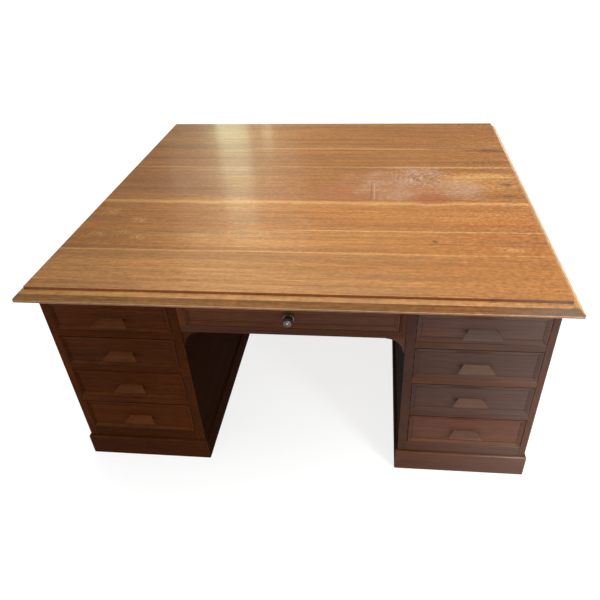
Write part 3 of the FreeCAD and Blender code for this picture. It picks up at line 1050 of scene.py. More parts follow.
StyleChooser = Callable[[Island, random.Random], BoardStyle]
FaceMarker = Callable[[Face], float]


class Axis(Enum):
    """The axes of the desk's frame: to the right, to the rear and up."""

    X = 0
    Y = 1
    Z = 2


@dataclass(frozen=True)
class FacingMark:
    """A mark on the faces whose normal has its part along one axis between two limits."""

    share: float
    axis: Axis
    limits: Span

    def __call__(self, face: Face) -> float:
        """The share of a face that looks that way, and 0 for any other face."""
        return self.share if self.limits[0] < face.normal[self.axis.value] < self.limits[1] else 0.0


def unmarked(face: Face) -> float:
    """No mark, whichever face it is."""
    return 0.0


def spot_key(place: Vector) -> tuple[int, ...]:
    """A place to the nearest micrometre, by which points are told apart."""
    return tuple(round(c * MICROMETRES_PER_METRE) for c in place)


@dataclass
class Joiner:
    """Turns a node's solids into eased boards that carry their own grain.

    The ease and the crease are how far outward and hollow edges are rounded, in metres. The pith spans
    say how far from a board the middle of its log lay, and the drifts how far to the side.
    """

    node: str
    ease: float = 0.0012
    crease: float = 0.0
    # Darkened faces carry painted shade on the oak and tarnish on the metal; paler faces carry wear on eased
    # edges and a painted highlight elsewhere.
    crease_shade_and_grime: float = 1.0
    wear_and_highlight_faces: FaceMarker = unmarked
    shade_and_grime_faces: FaceMarker = unmarked
    shade_and_grime_eases: bool = False
    sharp: float = math.radians(28)
    hollow: float = math.radians(-12)
    flat: float = math.radians(0.6)
    long_board: float = 0.3
    dust_and_sheen_lean: float = 1.8
    log_length: float = 40.0
    quarter_pith: Span = (0.04, 0.16)
    quarter_drift: Span = (-0.02, 0.02)
    plain_pith: Span = (0.03, 0.08)
    plain_drift: Span = (-0.2, 0.2)

    def solids(self) -> Iterator[list[tuple[Vector, ...]]]:
        """Splits the node's triangles where one solid closes and the next begins.

        Returns:
            The triangles of each solid in turn.
        """
        mesh = frame["nodes"][self.node].data
        places = [v.co.copy() for v in mesh.vertices]
        keys = [spot_key(place) for place in places]
        unpaired: set[tuple] = set()
        triangles: list[tuple[Vector, ...]] = []
        for face in mesh.polygons:
            corners = list(face.vertices)
            triangles.append(tuple(places[c] for c in corners))
            for a, b in zip(corners, corners[1:] + corners[:1]):
                edge = (keys[a], keys[b])
                if edge[::-1] in unpaired:
                    unpaired.remove(edge[::-1])
                else:
                    unpaired.add(edge)
            if not unpaired:
                yield triangles
                triangles = []
        if triangles:
            LOG.warning("%s: the last solid does not close", self.node)
            yield triangles

    def shaped(self) -> Shape:
        """Builds the solids with their flat faces whole.

        Returns:
            One mesh in which no two solids share a point.
        """
        shape = bmesh.new()
        for triangles in self.solids():
            points: dict[tuple, bmesh.types.BMVert] = {}
            for triangle in triangles:
                corners = []
                for place in triangle:
                    key = spot_key(place)
                    if key not in points:
                        points[key] = shape.verts.new(place)
                    corners.append(points[key])
                if len(set(corners)) == 3:
                    shape.faces.new(corners)
        shape.normal_update()
        bmesh.ops.dissolve_limit(
            shape,
            angle_limit=self.flat,
            verts=shape.verts[:],
            edges=shape.edges[:],
            use_dissolve_boundaries=False,
        )
        shape.normal_update()
        return shape

    @staticmethod
    def rounded(shape: Shape, edges: list[bmesh.types.BMEdge], width: float) -> list[Face]:
        """Rounds some edges of the mesh.

        Args:
            shape: the mesh.
            edges: the edges to round.
            width: how far the round reaches on each side, in metres.

        Returns:
            The faces of the round.
        """
        made = bmesh.ops.bevel(
            shape,
            geom=edges,
            offset=width,
            offset_type="OFFSET",
            segments=2,
            profile=0.5,
            affect="EDGES",
            clamp_overlap=True,
        )
        for face in made["faces"]:
            face.smooth = True
        return made["faces"]

    def eased(self, shape: Shape) -> None:
        """Rounds the outward edges a little and marks them as worn, and the hollow ones as darkened: painted
        shade on the oak, tarnish on the metal.

        Args:
            shape: the mesh to round.
        """
        wear_and_highlight = shape.faces.layers.float.new("wear_and_highlight")
        shade_and_grime = shape.faces.layers.float.new("shade_and_grime")
        for face in shape.faces:
            face.smooth = False
            face[wear_and_highlight] = self.wear_and_highlight_faces(face)
            face[shade_and_grime] = self.shade_and_grime_faces(face)
        shared = [e for e in shape.edges if len(e.link_faces) == 2]
        if self.crease:
            hollows = [e for e in shared if e.calc_face_angle_signed() < self.hollow]
            for face in self.rounded(shape, hollows, self.crease):
                face[wear_and_highlight] = 0.0
                face[shade_and_grime] = self.crease_shade_and_grime
            shared = [e for e in shape.edges if len(e.link_faces) == 2]
        else:
            for edge in shared:
                if self.flat < edge.calc_face_angle() < self.sharp:
                    for face in edge.link_faces:
                        face.smooth = True
        arrises = [e for e in shared if e.calc_face_angle_signed() > self.sharp]
        for face in self.rounded(shape, arrises, self.ease):
            face.normal_update()
            face[shade_and_grime] = self.shade_and_grime_faces(face) if self.shade_and_grime_eases else 0.0
            face[wear_and_highlight] = 1.0 - face[shade_and_grime]

    @staticmethod
    def islands(shape: Shape) -> list[Island]:
        """Gathers the points of each separate board.

        Args:
            shape: the mesh to look through.

        Returns:
            The boards, in an order that depends only on their places.
        """
        left = set(shape.verts)
        found = []
        for seed in shape.verts:
            if seed not in left:
                continue
            left.remove(seed)
            points = [seed]
            for point in points:
                for edge in point.link_edges:
                    other = edge.other_vert(point)
                    if other in left:
                        left.remove(other)
                        points.append(other)
            found.append(Island(points))
        return sorted(found, key=lambda board: tuple(round(c, 4) for c in board.middle))

    def pith(self, cut: Cut, width: float, chance: random.Random) -> tuple[float, float]:
        """Where the pith of the log lay, seen from the middle of the board.

        Args:
            cut: how the board was sawn.
            width: the board's width.
            chance: seeded source of the place.

        Returns:
            How far across and how deep.
        """
        side = chance.choice((-1.0, 1.0))
        if cut is Cut.QUARTER:
            across = side * (width / 2 + chance.uniform(*self.quarter_pith))
            return across, chance.uniform(*self.quarter_drift)
        across = chance.uniform(*self.plain_drift) * width
        return across, side * chance.uniform(*self.plain_pith)

    def lay_grain(self, shape: Shape, choose: StyleChooser) -> int:
        """Gives every board its grain and its style.

        Args:
            shape: the mesh of boards.
            choose: gives the style of each board.

        Returns:
            The number of boards.
        """
        grain = shape.verts.layers.float_vector.new("grain")
        looks = shape.verts.layers.float_vector.new("board")
        polish = shape.verts.layers.float.new("polish")
        dust_and_sheen = shape.verts.layers.float.new("dust_and_sheen")
        boards = self.islands(shape)
        for number, board in enumerate(boards):
            chance = random.Random(f"{self.node} {number}")
            style = choose(board, chance)
            size = board.size
            middle = board.middle
            depth, across, along = sorted(range(3), key=lambda k: size[k])
            shift = chance.uniform(0.0, self.log_length)
            pith = self.pith(style.cut, size[across], chance)
            for point in board.points:
                off = point.co - middle
                point[grain] = (off[along] + shift, off[across] - pith[0], off[depth] - pith[1])
                point[looks] = (style.tone, style.redness, style.fleck)
                point[polish] = style.polish
                # The grey of dust and painted sheen grows towards the right end of a long board.
                rightward = off.x / size.x if size.x > self.long_board else 0.0
                point[dust_and_sheen] = style.dust_and_sheen * (1.0 + self.dust_and_sheen_lean * rightward)
        return len(boards)

    def dress(self, material: bpy.types.Material, slot: str, choose: StyleChooser) -> None:
        """Makes the dressed piece that stands for the node and rides on its body.

        Args:
            material: its finish.
            slot: the record's material slot of that finish; not used.
            choose: gives the style of each board.
        """
        shape = self.shaped()
        self.eased(shape)
        boards = self.lay_grain(shape, choose)
        mesh = bpy.data.meshes.new(f"{self.node}_dressed")
        shape.to_mesh(mesh)
        shape.free()
        mesh.materials.append(material)
        piece = stand(f"{self.node}_dressed", mesh)
        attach(piece, frame["nodes"][self.node]["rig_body"])
        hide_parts(self.node)
        LOG.info("%s: %d boards, %d faces", piece.name, boards, len(mesh.polygons))


class Slot(Enum):
    """The finishes of the desk, by the name that the record gives them."""

    TOP = "oak_top"
    CASE = "oak_case"
    FRONT = "oak_front"
    LINING = "drawer_lining"
    BRONZE = "dark_bronze"
    NICKEL = "nickel"


class Side(Enum):
    """The two pedestals."""

    LEFT = "left"
    RIGHT = "right"


class Row(Enum):
    """The two long sides of the desk, which both have drawers."""

    FRONT = "front"
    REAR = "rear"


@dataclass
class FinishSet:
    """The materials of the desk, one for each finish."""

    top: TopFinish = TopFinish(
        Slot.TOP.value,
        pale=(0.50, 0.248, 0.077),
        deep=(0.355, 0.155, 0.042),
        red=(0.415, 0.146, 0.029),
        line=(0.19, 0.072, 0.020),
        smoky=(0.275, 0.130, 0.052),
        ray=(0.60, 0.34, 0.125),
        line_share=0.60,
        streak_share=0.38,
        band_share=0.65,
        wear_and_highlight_share=0.5,
        grit_share=1.0,
        roughness=0.30,
        specular=0.20,
        coat_roughness=0.13,
        relief=0.35,
        wave=0.8,
    )
    case: OakFinish = OakFinish(
        Slot.CASE.value,
        pale=(0.075, 0.0190, 0.0035),
        deep=(0.052, 0.0125, 0.0022),
        red=(0.080, 0.0200, 0.0060),
        line=(0.018, 0.0055, 0.0015),
        smoky=(0.036, 0.0125, 0.0040),
        ray=(0.13, 0.050, 0.016),
        roughness=0.40,
        specular=0.01,
    )
    front: OakFinish = OakFinish(
        Slot.FRONT.value,
        pale=(0.080, 0.0205, 0.0035),
        deep=(0.056, 0.0130, 0.0022),
        red=(0.085, 0.0215, 0.0065),
        line=(0.020, 0.0060, 0.0015),
        smoky=(0.038, 0.0130, 0.0040),
        ray=(0.13, 0.050, 0.016),
        roughness=0.38,
        specular=0.01,
    )
    lining: OakFinish = OakFinish(
        Slot.LINING.value,
        pale=(0.44, 0.29, 0.15),
        deep=(0.34, 0.205, 0.095),
        red=(0.36, 0.19, 0.085),
        line=(0.20, 0.11, 0.048),
        smoky=(0.26, 0.16, 0.080),
        ray=(0.52, 0.37, 0.21),
        line_share=0.35,
        fleck_share=0.3,
        roughness=0.62,
        specular=0.2,
    )
    bronze: MetalFinish = MetalFinish(
        Slot.BRONZE.value,
        bright=(0.210, 0.180, 0.160),
        tarnish=(0.008, 0.007, 0.006),
        rubbed=(0.40, 0.33, 0.29),
        roughness=0.40,
    )
    nickel: MetalFinish = MetalFinish(
        Slot.NICKEL.value,
        bright=(0.16, 0.125, 0.110),
        tarnish=(0.03, 0.025, 0.022),
        rubbed=(0.62, 0.52, 0.46),
        roughness=0.30,
    )
    made: dict[Slot, bpy.types.Material] = field(default_factory=dict)

    def __post_init__(self) -> None:
        """Makes every material."""
        finishes = (self.top, self.case, self.front, self.lining, self.bronze, self.nickel)
        for slot, finish in zip(Slot, finishes):
            self.made[slot] = finish.material()

    def dress(self, joiner: Joiner, slot: Slot, choose: StyleChooser) -> None:
        """Dresses a node in one of the finishes, with a style for each of its boards."""
        joiner.dress(self.made[slot], slot.value, choose)


@dataclass
class DeskTop:
    """The boarded top and its edge moulding.

    The riser is the upright edge of the boards, painted with shade above the moulding. The slope is the
    upper face of the moulding, painted paler as a highlight where it faces up. What lies under the slope is
    painted with shade, the bevel a little more than the upright edge below it.
    """

    finishes: FinishSet
    joint_ease: float = 0.0006
    moulding_ease: float = 0.0020
    boards: tuple[BoardStyle, ...] = (
        BoardStyle(0.79, -0.08, 0.12, 0.26),
        BoardStyle(0.66, 0.40, 0.4, 0.26),
        BoardStyle(0.76, 0.60, 0.5, 0.26),
        BoardStyle(0.67, 0.55, 0.4, 0.26),
        BoardStyle(0.59, 0.50, 0.3, 0.26),
        BoardStyle(0.62, 0.30, 0.3, 0.26),
    )
    board_places: tuple[float, ...] = (-0.6485, -0.457, -0.272, 0.012, 0.295, 0.5835)
    moulding: BoardStyle = BoardStyle(0.67, 0.35, 0.1)
    # The right length is painted paler, as lit from the right.
    right_moulding: BoardStyle = BoardStyle(0.86, -0.20, 0.1)
    right_start: float = 0.5
    # Painted shade on the riser, the bevel and the upright edge, and a painted highlight on the slope that
    # faces up.
    riser: FacingMark = FacingMark(0.8, Axis.Z, (-0.3, 0.3))
    slope: FacingMark = FacingMark(0.6, Axis.Z, (0.84, 0.97))
    bevel: FacingMark = FacingMark(0.62, Axis.Z, (0.6, 0.84))
    under: FacingMark = FacingMark(0.58, Axis.Z, (-0.2, 0.84))
    end_facing: float = 0.3

    def board_style(self, board: Island, chance: random.Random) -> BoardStyle:
        """The style of the board at that place, counted from the front."""
        gaps = [abs(board.middle.y - place) for place in self.board_places]
        return self.boards[gaps.index(min(gaps))]

    def moulding_style(self, board: Island, chance: random.Random) -> BoardStyle:
        """A length of moulding, a little different from the others and painted paler at the right, as lit
        from that side.
        """
        style = self.right_moulding if board.middle.x > self.right_start else self.moulding
        return style.varied(chance, tone=0.04, redness=0.06)

    def under_slope(self, face: Face) -> float:
        """Marks painted shade on the bevel and the upright edge of the moulding, on the long sides only."""
        return 0.0 if abs(face.normal.x) > self.end_facing else max(self.bevel(face), self.under(face))

    def build(self) -> None:
        """Dresses the boards and the moulding."""
        boards = Joiner("top_boards", self.joint_ease, shade_and_grime_faces=self.riser)
        self.finishes.dress(boards, Slot.TOP, self.board_style)
        moulding = Joiner(
            "top_edge_moulding",
            self.moulding_ease,
            wear_and_highlight_faces=self.slope,
            shade_and_grime_faces=self.under_slope,
            shade_and_grime_eases=True,
        )
        self.finishes.dress(moulding, Slot.TOP, self.moulding_style)


@dataclass
class Carcass:
    """The frame under the top, the pedestals and the kneehole.

    The walls are the faces of the pedestals in the kneehole. They carry painted shade and little polish,
    and so does the sawn edge of the spandrels.
    """

    finishes: FinishSet
    ease: float = 0.0015
    plinth_ease: float = 0.0030
    lining_ease: float = 0.0010
    left: BoardStyle = BoardStyle(0.20, 0.30, 0.25)
    right: BoardStyle = BoardStyle(0.18, 0.50, 0.25, 0.40, 0.13)
    inner_right: BoardStyle = BoardStyle(-0.06, 0.50, 0.2, 0.30, 0.06)
    middle: BoardStyle = BoardStyle(0.20, 0.45, 0.2, 0.22)
    pale_rail: BoardStyle = BoardStyle(0.70, 0.45, 0.2, 0.45, 0.12)
    end_stile: BoardStyle = BoardStyle(1.00, 0.15, 0.2, 0.1)
    inside: BoardStyle = BoardStyle(0.42, 0.3, 0.1, cut=Cut.PLAIN)
    kneehole_half: float = 0.3
    stile_width: float = 0.05
    stile_range: Span = (0.05, 0.05)
    pale_rail_height: float = 0.4275
    rail_band: float = 0.02
    bottom_rail_height: float = 0.14
    bottom_rail_lift: float = -0.25
    left_plinth_lift: float = -0.16
    right_plinth_lift: float = 0.14
    # Painted shade on the kneehole faces of the inner sides and plinths, and on the sawn edge of the
    # spandrels.
    left_wall: FacingMark = FacingMark(0.82, Axis.X, (0.5, math.inf))
    right_wall: FacingMark = FacingMark(0.95, Axis.X, (-math.inf, -0.5))
    sawn_edge: FacingMark = FacingMark(0.8, Axis.Y, (-0.95, 0.95))

    def style(self, board: Island, chance: random.Random) -> BoardStyle:
        """A case board: warmer at the left, redder at the right, and in between of a style of its own."""
        half = self.left if board.middle.x < 0 else self.right
        return (self.middle if abs(board.middle.x) < self.kneehole_half else half).varied(chance)

    def rail_style(self, board: Island, chance: random.Random) -> BoardStyle:
        """A drawer rail: one at the right is of paler wood, and the lowest at the left is darker.

        Args:
            board: the rail.
            chance: seeded source of its differences.

        Returns:
            Its style.
        """
        middle = board.middle
        if middle.x > 0 and middle.y < 0 and abs(middle.z - self.pale_rail_height) < self.rail_band:
            return self.pale_rail
        style = self.style(board, chance)
        if middle.x < 0 and middle.z < self.bottom_rail_height:
            return replace(style, tone=style.tone + self.bottom_rail_lift)
        return style

    def kneehole_style(self, board: Island, chance: random.Random) -> BoardStyle:
        """A rail over the kneehole: the short stiles at its left end are of brighter wood."""
        is_stile = board.size.x < self.stile_width and board.middle.x < 0
        return self.end_stile.varied(chance, *self.stile_range) if is_stile else self.middle.varied(chance)

    def inner_style(self, board: Island, chance: random.Random) -> BoardStyle:
        """An inner side, which is duller than the rest of its pedestal."""
        return (self.left if board.middle.x < 0 else self.inner_right).varied(chance, tone=0.05)

    def plinth_style(self, board: Island, chance: random.Random) -> BoardStyle:
        """A plinth board: darker at the left and paler at the right than the case above it.

        Args:
            board: the plinth board.
            chance: seeded source of its differences.

        Returns:
            Its style.
        """
        style = self.style(board, chance)
        lift = self.left_plinth_lift if board.middle.x < 0 else self.right_plinth_lift
        return replace(style, tone=style.tone + lift)

    def inside_style(self, board: Island, chance: random.Random) -> BoardStyle:
        """A board that only shows behind an open drawer."""
        return self.inside.varied(chance, tone=0.1, redness=0.15)

    def dress_shaded(self, node: str, ease: float, mark: FacingMark, choose: StyleChooser) -> None:
        """Dresses a node of the case that has painted shade and little polish on some faces."""
        joiner = Joiner(node, ease, shade_and_grime_faces=mark, shade_and_grime_eases=True)
        self.finishes.dress(joiner, Slot.CASE, choose)

    def build(self) -> None:
        """Dresses the case, the kneehole and the plinths, and then what only shows inside."""
        case = {
            "top_frame": self.style,
            "outer_side_panels": self.style,
            "kneehole_rails": self.kneehole_style,
        }
        inside = ["pedestal_bottoms", "partitions", "drawer_stops", "centre_runners"]
        self.dress_shaded("kneehole_spandrels", self.ease, self.sawn_edge, self.style)
        for side in Side:
            name = side.value
            case[f"{name}_outer_side_frame"] = self.style
            case[f"{name}_drawer_rails"] = self.rail_style
            inside.append(f"{name}_runners")
            wall = self.left_wall if side is Side.LEFT else self.right_wall
            self.dress_shaded(f"{name}_inner_side", self.ease, wall, self.inner_style)
            self.dress_shaded(f"{name}_plinth", self.plinth_ease, wall, self.plinth_style)
        for node, choose in case.items():
            self.finishes.dress(Joiner(node, self.ease), Slot.CASE, choose)
        for node in inside:
            self.finishes.dress(Joiner(node, self.lining_ease), Slot.LINING, self.inside_style)


@dataclass(frozen=True)
class PullStyle:
    """How a pull differs from its drawer front: how much lighter it is painted, for the light that its face
    catches, and its own polish, and its dust and painted sheen.
    """

    lift: float = 0.0
    polish: float = 0.0
    dust_and_sheen: float = 0.0


@dataclass
class Drawer:
    """One drawer: its moulded front with the pull on it, and its dovetailed box.

    The border below the field and the upper face of the pull are painted paler, as highlights where they face
    up.
    The rim of the front, the ends and the finger lip of the pull, and the left part of the border are painted
    with shade.
    """

    finishes: FinishSet
    name: str
    face: BoardStyle
    pull: PullStyle
    front_ease: float = 0.0016
    front_crease: float = 0.0011
    box_ease: float = 0.0006
    crease_shade_and_grime: float = 0.5
    box: BoardStyle = BoardStyle(0.55, 0.25, 0.15, cut=Cut.PLAIN)
    pull_length: float = 0.2
    # Painted highlight on faces that look up, such as the lower border and the upper face of the pull.
    upward_highlight: FacingMark = FacingMark(0.8, Axis.Z, (0.25, 0.9))
    face_plane: float = 0.737
    rim_reach: float = 1.05
    rim_facing: float = 0.93
    # Painted shade on the rim of the front, the pull's ends and lip, and the border's left part.
    rim_shade: float = 0.8
    end_facing: float = 0.5
    end_shade: float = 0.6
    lip_plane: float = 0.750
    lip_facing: float = 0.2
    lip_shade: float = 0.45
    left_border_shade: FacingMark = FacingMark(0.3, Axis.X, (0.12, math.inf))

    def front_style(self, board: Island, chance: random.Random) -> BoardStyle:
        """The front's board, or its pull.

        Args:
            board: the board or the pull.
            chance: seeded source of its differences.

        Returns:
            Its style.
        """
        style = self.face.varied(chance, tone=0.05, redness=0.08)
        if board.size.x >= self.pull_length:
            return style
        painted_tone = style.tone + self.pull.lift
        return replace(style, tone=painted_tone, polish=self.pull.polish, dust_and_sheen=self.pull.dust_and_sheen)

    def on_rim(self, face: Face) -> bool:
        """Whether a face is part of the rounded rim of the front.

        Args:
            face: the face.

        Returns:
            True on the rim.
        """
        if abs(face.normal.y) >= self.rim_facing:
            return False
        reach = self.rim_reach * self.front_ease
        return all(abs(abs(p.co.y) - self.face_plane) < reach for p in face.verts)

    def on_lip(self, face: Face) -> bool:
        """Whether a face is part of the finger lip of the pull."""
        return face.normal.z < self.lip_facing and all(abs(p.co.y) > self.lip_plane for p in face.verts)

    def shade_marks(self, face: Face) -> float:
        """Marks painted shade on the rim, the pull's ends and lip and, a little, the border's left part.

        Args:
            face: the face.

        Returns:
            How dark it is.
        """
        if self.on_rim(face):
            return self.rim_shade
        if abs(face.normal.x) > self.end_facing:
            return self.end_shade
        return self.lip_shade if self.on_lip(face) else self.left_border_shade(face)

    def box_style(self, board: Island, chance: random.Random) -> BoardStyle:
        """A board of the drawer box."""
        return self.box.varied(chance, tone=0.1)

    def build(self) -> None:
        """Dresses the front and the box."""
        front = Joiner(
            f"{self.name}_front",
            self.front_ease,
            self.front_crease,
            self.crease_shade_and_grime,
            wear_and_highlight_faces=self.upward_highlight,
            shade_and_grime_faces=self.shade_marks,
            shade_and_grime_eases=True,
        )
        self.finishes.dress(front, Slot.FRONT, self.front_style)
        self.finishes.dress(Joiner(f"{self.name}_box", self.box_ease), Slot.LINING, self.box_style)


@dataclass
class DrawerBank:
    """All eighteen drawers, nine on each long side."""

    finishes: FinishSet
    faces: dict[Side, tuple[BoardStyle, ...]] = field(
        default_factory=lambda: {
            Side.LEFT: (
                BoardStyle(0.18, 0.30, 0.3, 0.02),
                BoardStyle(0.06, 0.35, 0.3, 0.02),
                BoardStyle(0.33, 0.15, 0.3),
                BoardStyle(0.34, 0.15, 0.3),
            ),
            Side.RIGHT: (
                BoardStyle(0.10, 0.50, 0.3, 0.50, 0.17),
                BoardStyle(0.00, 0.50, 0.3, 0.50, 0.14),
                BoardStyle(-0.14, 0.60, 0.3, 0.52, 0.12),
                BoardStyle(0.34, 0.60, 0.3, 0.48, 0.07),
            ),
        }
    )
    # Each pull: how much lighter it is painted, for the light that its face catches, its polish, and its dust
    # and painted sheen.
    pulls: dict[Side, tuple[PullStyle, ...]] = field(
        default_factory=lambda: {
            Side.LEFT: (
                PullStyle(0.85, 0.15, 0.06),
                PullStyle(0.70, 0.15),
                PullStyle(0.45, 0.15),
                PullStyle(0.48, 0.12),
            ),
            Side.RIGHT: (
                PullStyle(0.85, 0.55, 0.80),
                PullStyle(0.70, 0.55, 0.36),
                PullStyle(0.40, 0.50, 0.20),
                PullStyle(-0.05, 0.50, 0.14),
            ),
        }
    )
    centre_face: BoardStyle = BoardStyle(0.62, 0.25, 0.3, 0.18, 0.10)

    def drawers(self) -> Iterator[Drawer]:
        """Names the drawers and gives each front its style.

        Returns:
            The drawers, one after the other.
        """
        for row in Row:
            for side in Side:
                for number, (face, pull) in enumerate(zip(self.faces[side], self.pulls[side]), 1):
                    yield Drawer(self.finishes, f"{row.value}_{side.value}_drawer_{number}", face, pull)
            yield Drawer(self.finishes, f"{row.value}_centre_drawer", self.centre_face, PullStyle())

    def build(self) -> None:
        """Dresses every drawer."""
        for drawer in self.drawers():
            drawer.build()


@dataclass
class Fittings:
    """The round knob of each centre drawer, the rose behind it and the bright lock face in it."""

    finishes: FinishSet
    knob_ease: float = 0.0008
    lock_ease: float = 0.0003
    lock_crease: float = 0.0012
    core_area: float = 0.00006
    core_facing: float = 0.9
    head_facing: float = 0.35
    rim_plane: float = 0.7365
    head_plane: float = 0.7500

    def core(self, face: Face) -> float:
        """Marks the small round in the middle of the lock face, which keys have rubbed bright."""
        small = face.calc_area() < self.core_area
        return 1.0 if small and abs(face.normal.y) > self.core_facing else 0.0

    def head(self, face: Face) -> float:
        """Marks the face and the shoulder of the knob round the lock, which have gone dark."""
        on_head = abs(face.calc_center_median().y) > self.head_plane
        return 1.0 if on_head and abs(face.normal.y) > self.head_facing else 0.0

    def rose_rim(self, face: Face) -> float:
        """Marks the raised rim of the rose behind the knob, painted pale as a highlight.

        Args:
            face: the face.

        Returns:
            1 on the rim, and 0 elsewhere.
        """
        place = face.calc_center_median().y
        outward = face.normal.y * place > 0.0
        return 1.0 if outward and self.rim_plane < abs(place) < self.head_plane else 0.0

    @staticmethod
    def plain(board: Island, chance: random.Random) -> BoardStyle:
        """Metal has no grain, so every part has the same style."""
        return BoardStyle()

    def build(self) -> None:
        """Dresses the knobs and the lock faces."""
        for row in Row:
            knob = Joiner(
                f"{row.value}_centre_knob",
                self.knob_ease,
                wear_and_highlight_faces=self.rose_rim,
                shade_and_grime_faces=self.head,
                shade_and_grime_eases=True,
            )
            self.finishes.dress(knob, Slot.BRONZE, self.plain)
            lock = Joiner(f"{row.value}_centre_lock", self.lock_ease, self.lock_crease, wear_and_highlight_faces=self.core)
            self.finishes.dress(lock, Slot.NICKEL, self.plain)


def hang(lamp: bpy.types.Light, power: float, colour: Colour, place: Triple, aim: Vector) -> None:
    """Hangs a light and points it.

    Args:
        lamp: the light.
        power: its power or strength.
        colour: its colour.
        place: where it hangs.
        aim: the way that it points.
    """
    lamp.energy = power
    lamp.color = colour
    holder = stand(lamp.name, lamp)
    holder.location = place
    holder.rotation_euler = aim.to_track_quat("-Z", "Y").to_euler()
    LOG.info("%s: light of %.1f", lamp.name, power)


@dataclass(frozen=True)
class SoftLight:
    """A soft studio light: where it stands, where it points, its size and its power."""

    name: str
    place: Triple
    target: Triple
    width: float
    height: float
    power: float
    colour: Colour = WHITE
    spread: float = 180.0

    def build(self) -> None:
        """Hangs the light."""
        lamp = bpy.data.lights.new(self.name, "AREA")
        lamp.spread = math.radians(self.spread)
        lamp.shape = "RECTANGLE"
        lamp.size = self.width
        lamp.size_y = self.height
        hang(lamp, self.power, self.colour, self.place, Vector(self.target) - Vector(self.place))


@dataclass(frozen=True)
class BroadLight:
    """An even light over the whole floor: where it comes from, how wide it is, and its strength."""

    name: str
    place: Triple
    spread: float
    strength: float

    def build(self) -> None:
        """Hangs the light."""
        lamp = bpy.data.lights.new(self.name, "SUN")
        lamp.angle = math.radians(self.spread)
        hang(lamp, self.strength, WHITE, self.place, -Vector(self.place))


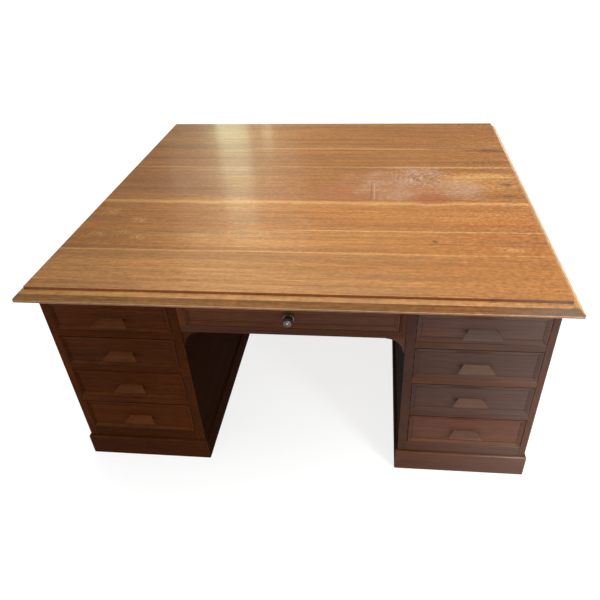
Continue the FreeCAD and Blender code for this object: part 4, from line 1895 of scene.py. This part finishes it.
@dataclass
class Studio:
    """The camera at the photograph's angle, a plain pale floor and soft light."""

    camera_place: Triple = (0.24984, -2.07317, 1.65738)
    camera_right: Triple = (0.995211, 0.09257, -0.031387)
    camera_down: Triple = (0.029941, -0.594375, -0.80363)
    camera_forward: Triple = (-0.093048, 0.798842, -0.594301)
    lens: float = 33.5519
    sensor: float = 36.0
    shift: Span = (-0.035, 0.03062)
    floor_reach: float = 20.0
    floor_colour: Colour = (0.25, 0.25, 0.249)
    floor_speckle: Pattern = Pattern((40.0, 40.0, 40.0), 3.0)
    floor_darkening: float = 0.97
    floor_roughness: float = 0.9
    floor_specular: float = 0.1
    floor_glow: float = 0.80
    sky_strength: float = 0.15
    lights: tuple[SoftLight | BroadLight, ...] = (
        BroadLight("broad_light", (0.5, 0.9, 3.4), 70.0, 3.3),
        SoftLight("floor_light", (2.2, -2.6, 1.5), (1.75, -1.45, 0.0), 0.8, 0.8, 46.0, spread=75.0),
        SoftLight("left_light", (-1.9, -2.1, 0.2), (-0.55, -0.74, 0.45), 0.7, 0.35, 4.0, spread=120.0),
        SoftLight("right_light", (2.0, -2.1, 0.2), (0.55, -0.74, 0.45), 0.7, 0.35, 3.0, spread=120.0),
        SoftLight("panel_light", (1.1, -4.0, 0.75), (0.6, -0.74, 0.4), 2.0, 1.2, 10.0),
        SoftLight("front_light", (-0.1, -2.3, 2.7), (-0.1, -0.8, 0.5), 3.0, 1.2, 18.0),
        SoftLight("side_light", (3.1, 3.4, 0.85), (0.82, 0.2, 0.76), 3.0, 0.8, 17.0, (1.0, 0.86, 0.64)),
        SoftLight("haze_light", (-1.2, 3.4, 2.6), (-0.3, -0.2, 0.77), 1.4, 1.6, 6.0, (1.0, 0.93, 0.78)),
        SoftLight("window_light", (-1.10, 3.0, 1.75), (-1.10, -1.0, 1.75), 0.29, 1.6, 5.7, (0.86, 1.0, 0.64)),
        SoftLight("pane_light", (-0.77, 3.0, 1.45), (-0.77, -1.0, 1.45), 0.09, 0.5, 0.5, (0.97, 1.0, 0.62)),
    )

    def place_camera(self) -> None:
        """Puts the camera where the photograph was taken from."""
        camera = bpy.data.cameras.new("photo_camera")
        camera.sensor_fit = "HORIZONTAL"
        camera.sensor_width = self.sensor
        camera.lens = self.lens
        camera.shift_x, camera.shift_y = self.shift
        holder = stand("photo_camera", camera)
        axes = (Vector(self.camera_right), -Vector(self.camera_down), -Vector(self.camera_forward))
        turn = Matrix(axes).transposed().to_4x4()
        holder.matrix_world = Matrix.Translation(self.camera_place) @ turn
        bpy.context.scene.camera = holder

    def floor_material(self) -> bpy.types.Material:
        """Makes the floor's finish.

        Returns:
            A pale, dull material.
        """
        graph = Graph("pale_floor")
        darker = tuple(self.floor_darkening * c for c in self.floor_colour)
        return graph.finish(
            {
                "Base Color": graph.blend(self.floor_speckle.raw(graph.place()), self.floor_colour, darker),
                "Roughness": self.floor_roughness,
                "Specular IOR Level": self.floor_specular,
                "Emission Color": (*WHITE, 1.0),
                "Emission Strength": self.floor_glow,
            }
        )

    def lay_floor(self) -> None:
        """Lays a plain pale floor under the desk."""
        shape = bmesh.new()
        bmesh.ops.create_grid(shape, x_segments=4, y_segments=4, size=self.floor_reach)
        mesh = bpy.data.meshes.new("studio_floor")
        shape.to_mesh(mesh)
        shape.free()
        mesh.materials.append(self.floor_material())
        floor = stand("studio_floor", mesh)
        floor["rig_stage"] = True

    def light_sky(self) -> None:
        """Fills the room with an even pale light."""
        world = bpy.data.worlds.new("studio_sky")
        world.use_nodes = True
        background = world.node_tree.nodes["Background"]
        background.inputs["Color"].default_value = (*WHITE, 1.0)
        background.inputs["Strength"].default_value = self.sky_strength
        bpy.context.scene.world = world

    def build(self) -> None:
        """Sets up the camera, the floor and the light."""
        bpy.context.scene.view_settings.view_transform = "Standard"
        self.place_camera()
        self.lay_floor()
        self.light_sky()
        for light in self.lights:
            light.build()


def write_sizes() -> None:
    """Works out the box of the solids and the box of the dressed desk, and keeps neither."""
    boxes = {"cad": CAD_BOX, "visual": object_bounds()}
    {name: [list(corner) for corner in box] for name, box in boxes.items()}


def main() -> None:
    """Builds the desk's looks, piece by piece, and the studio around it."""
    logging.basicConfig(level=logging.INFO, format="%(message)s")
    Studio().build()
    finishes = FinishSet()
    DeskTop(finishes).build()
    Carcass(finishes).build()
    DrawerBank(finishes).build()
    Fittings(finishes).build()
    write_sizes()


if __name__ == "__main__":
    main()
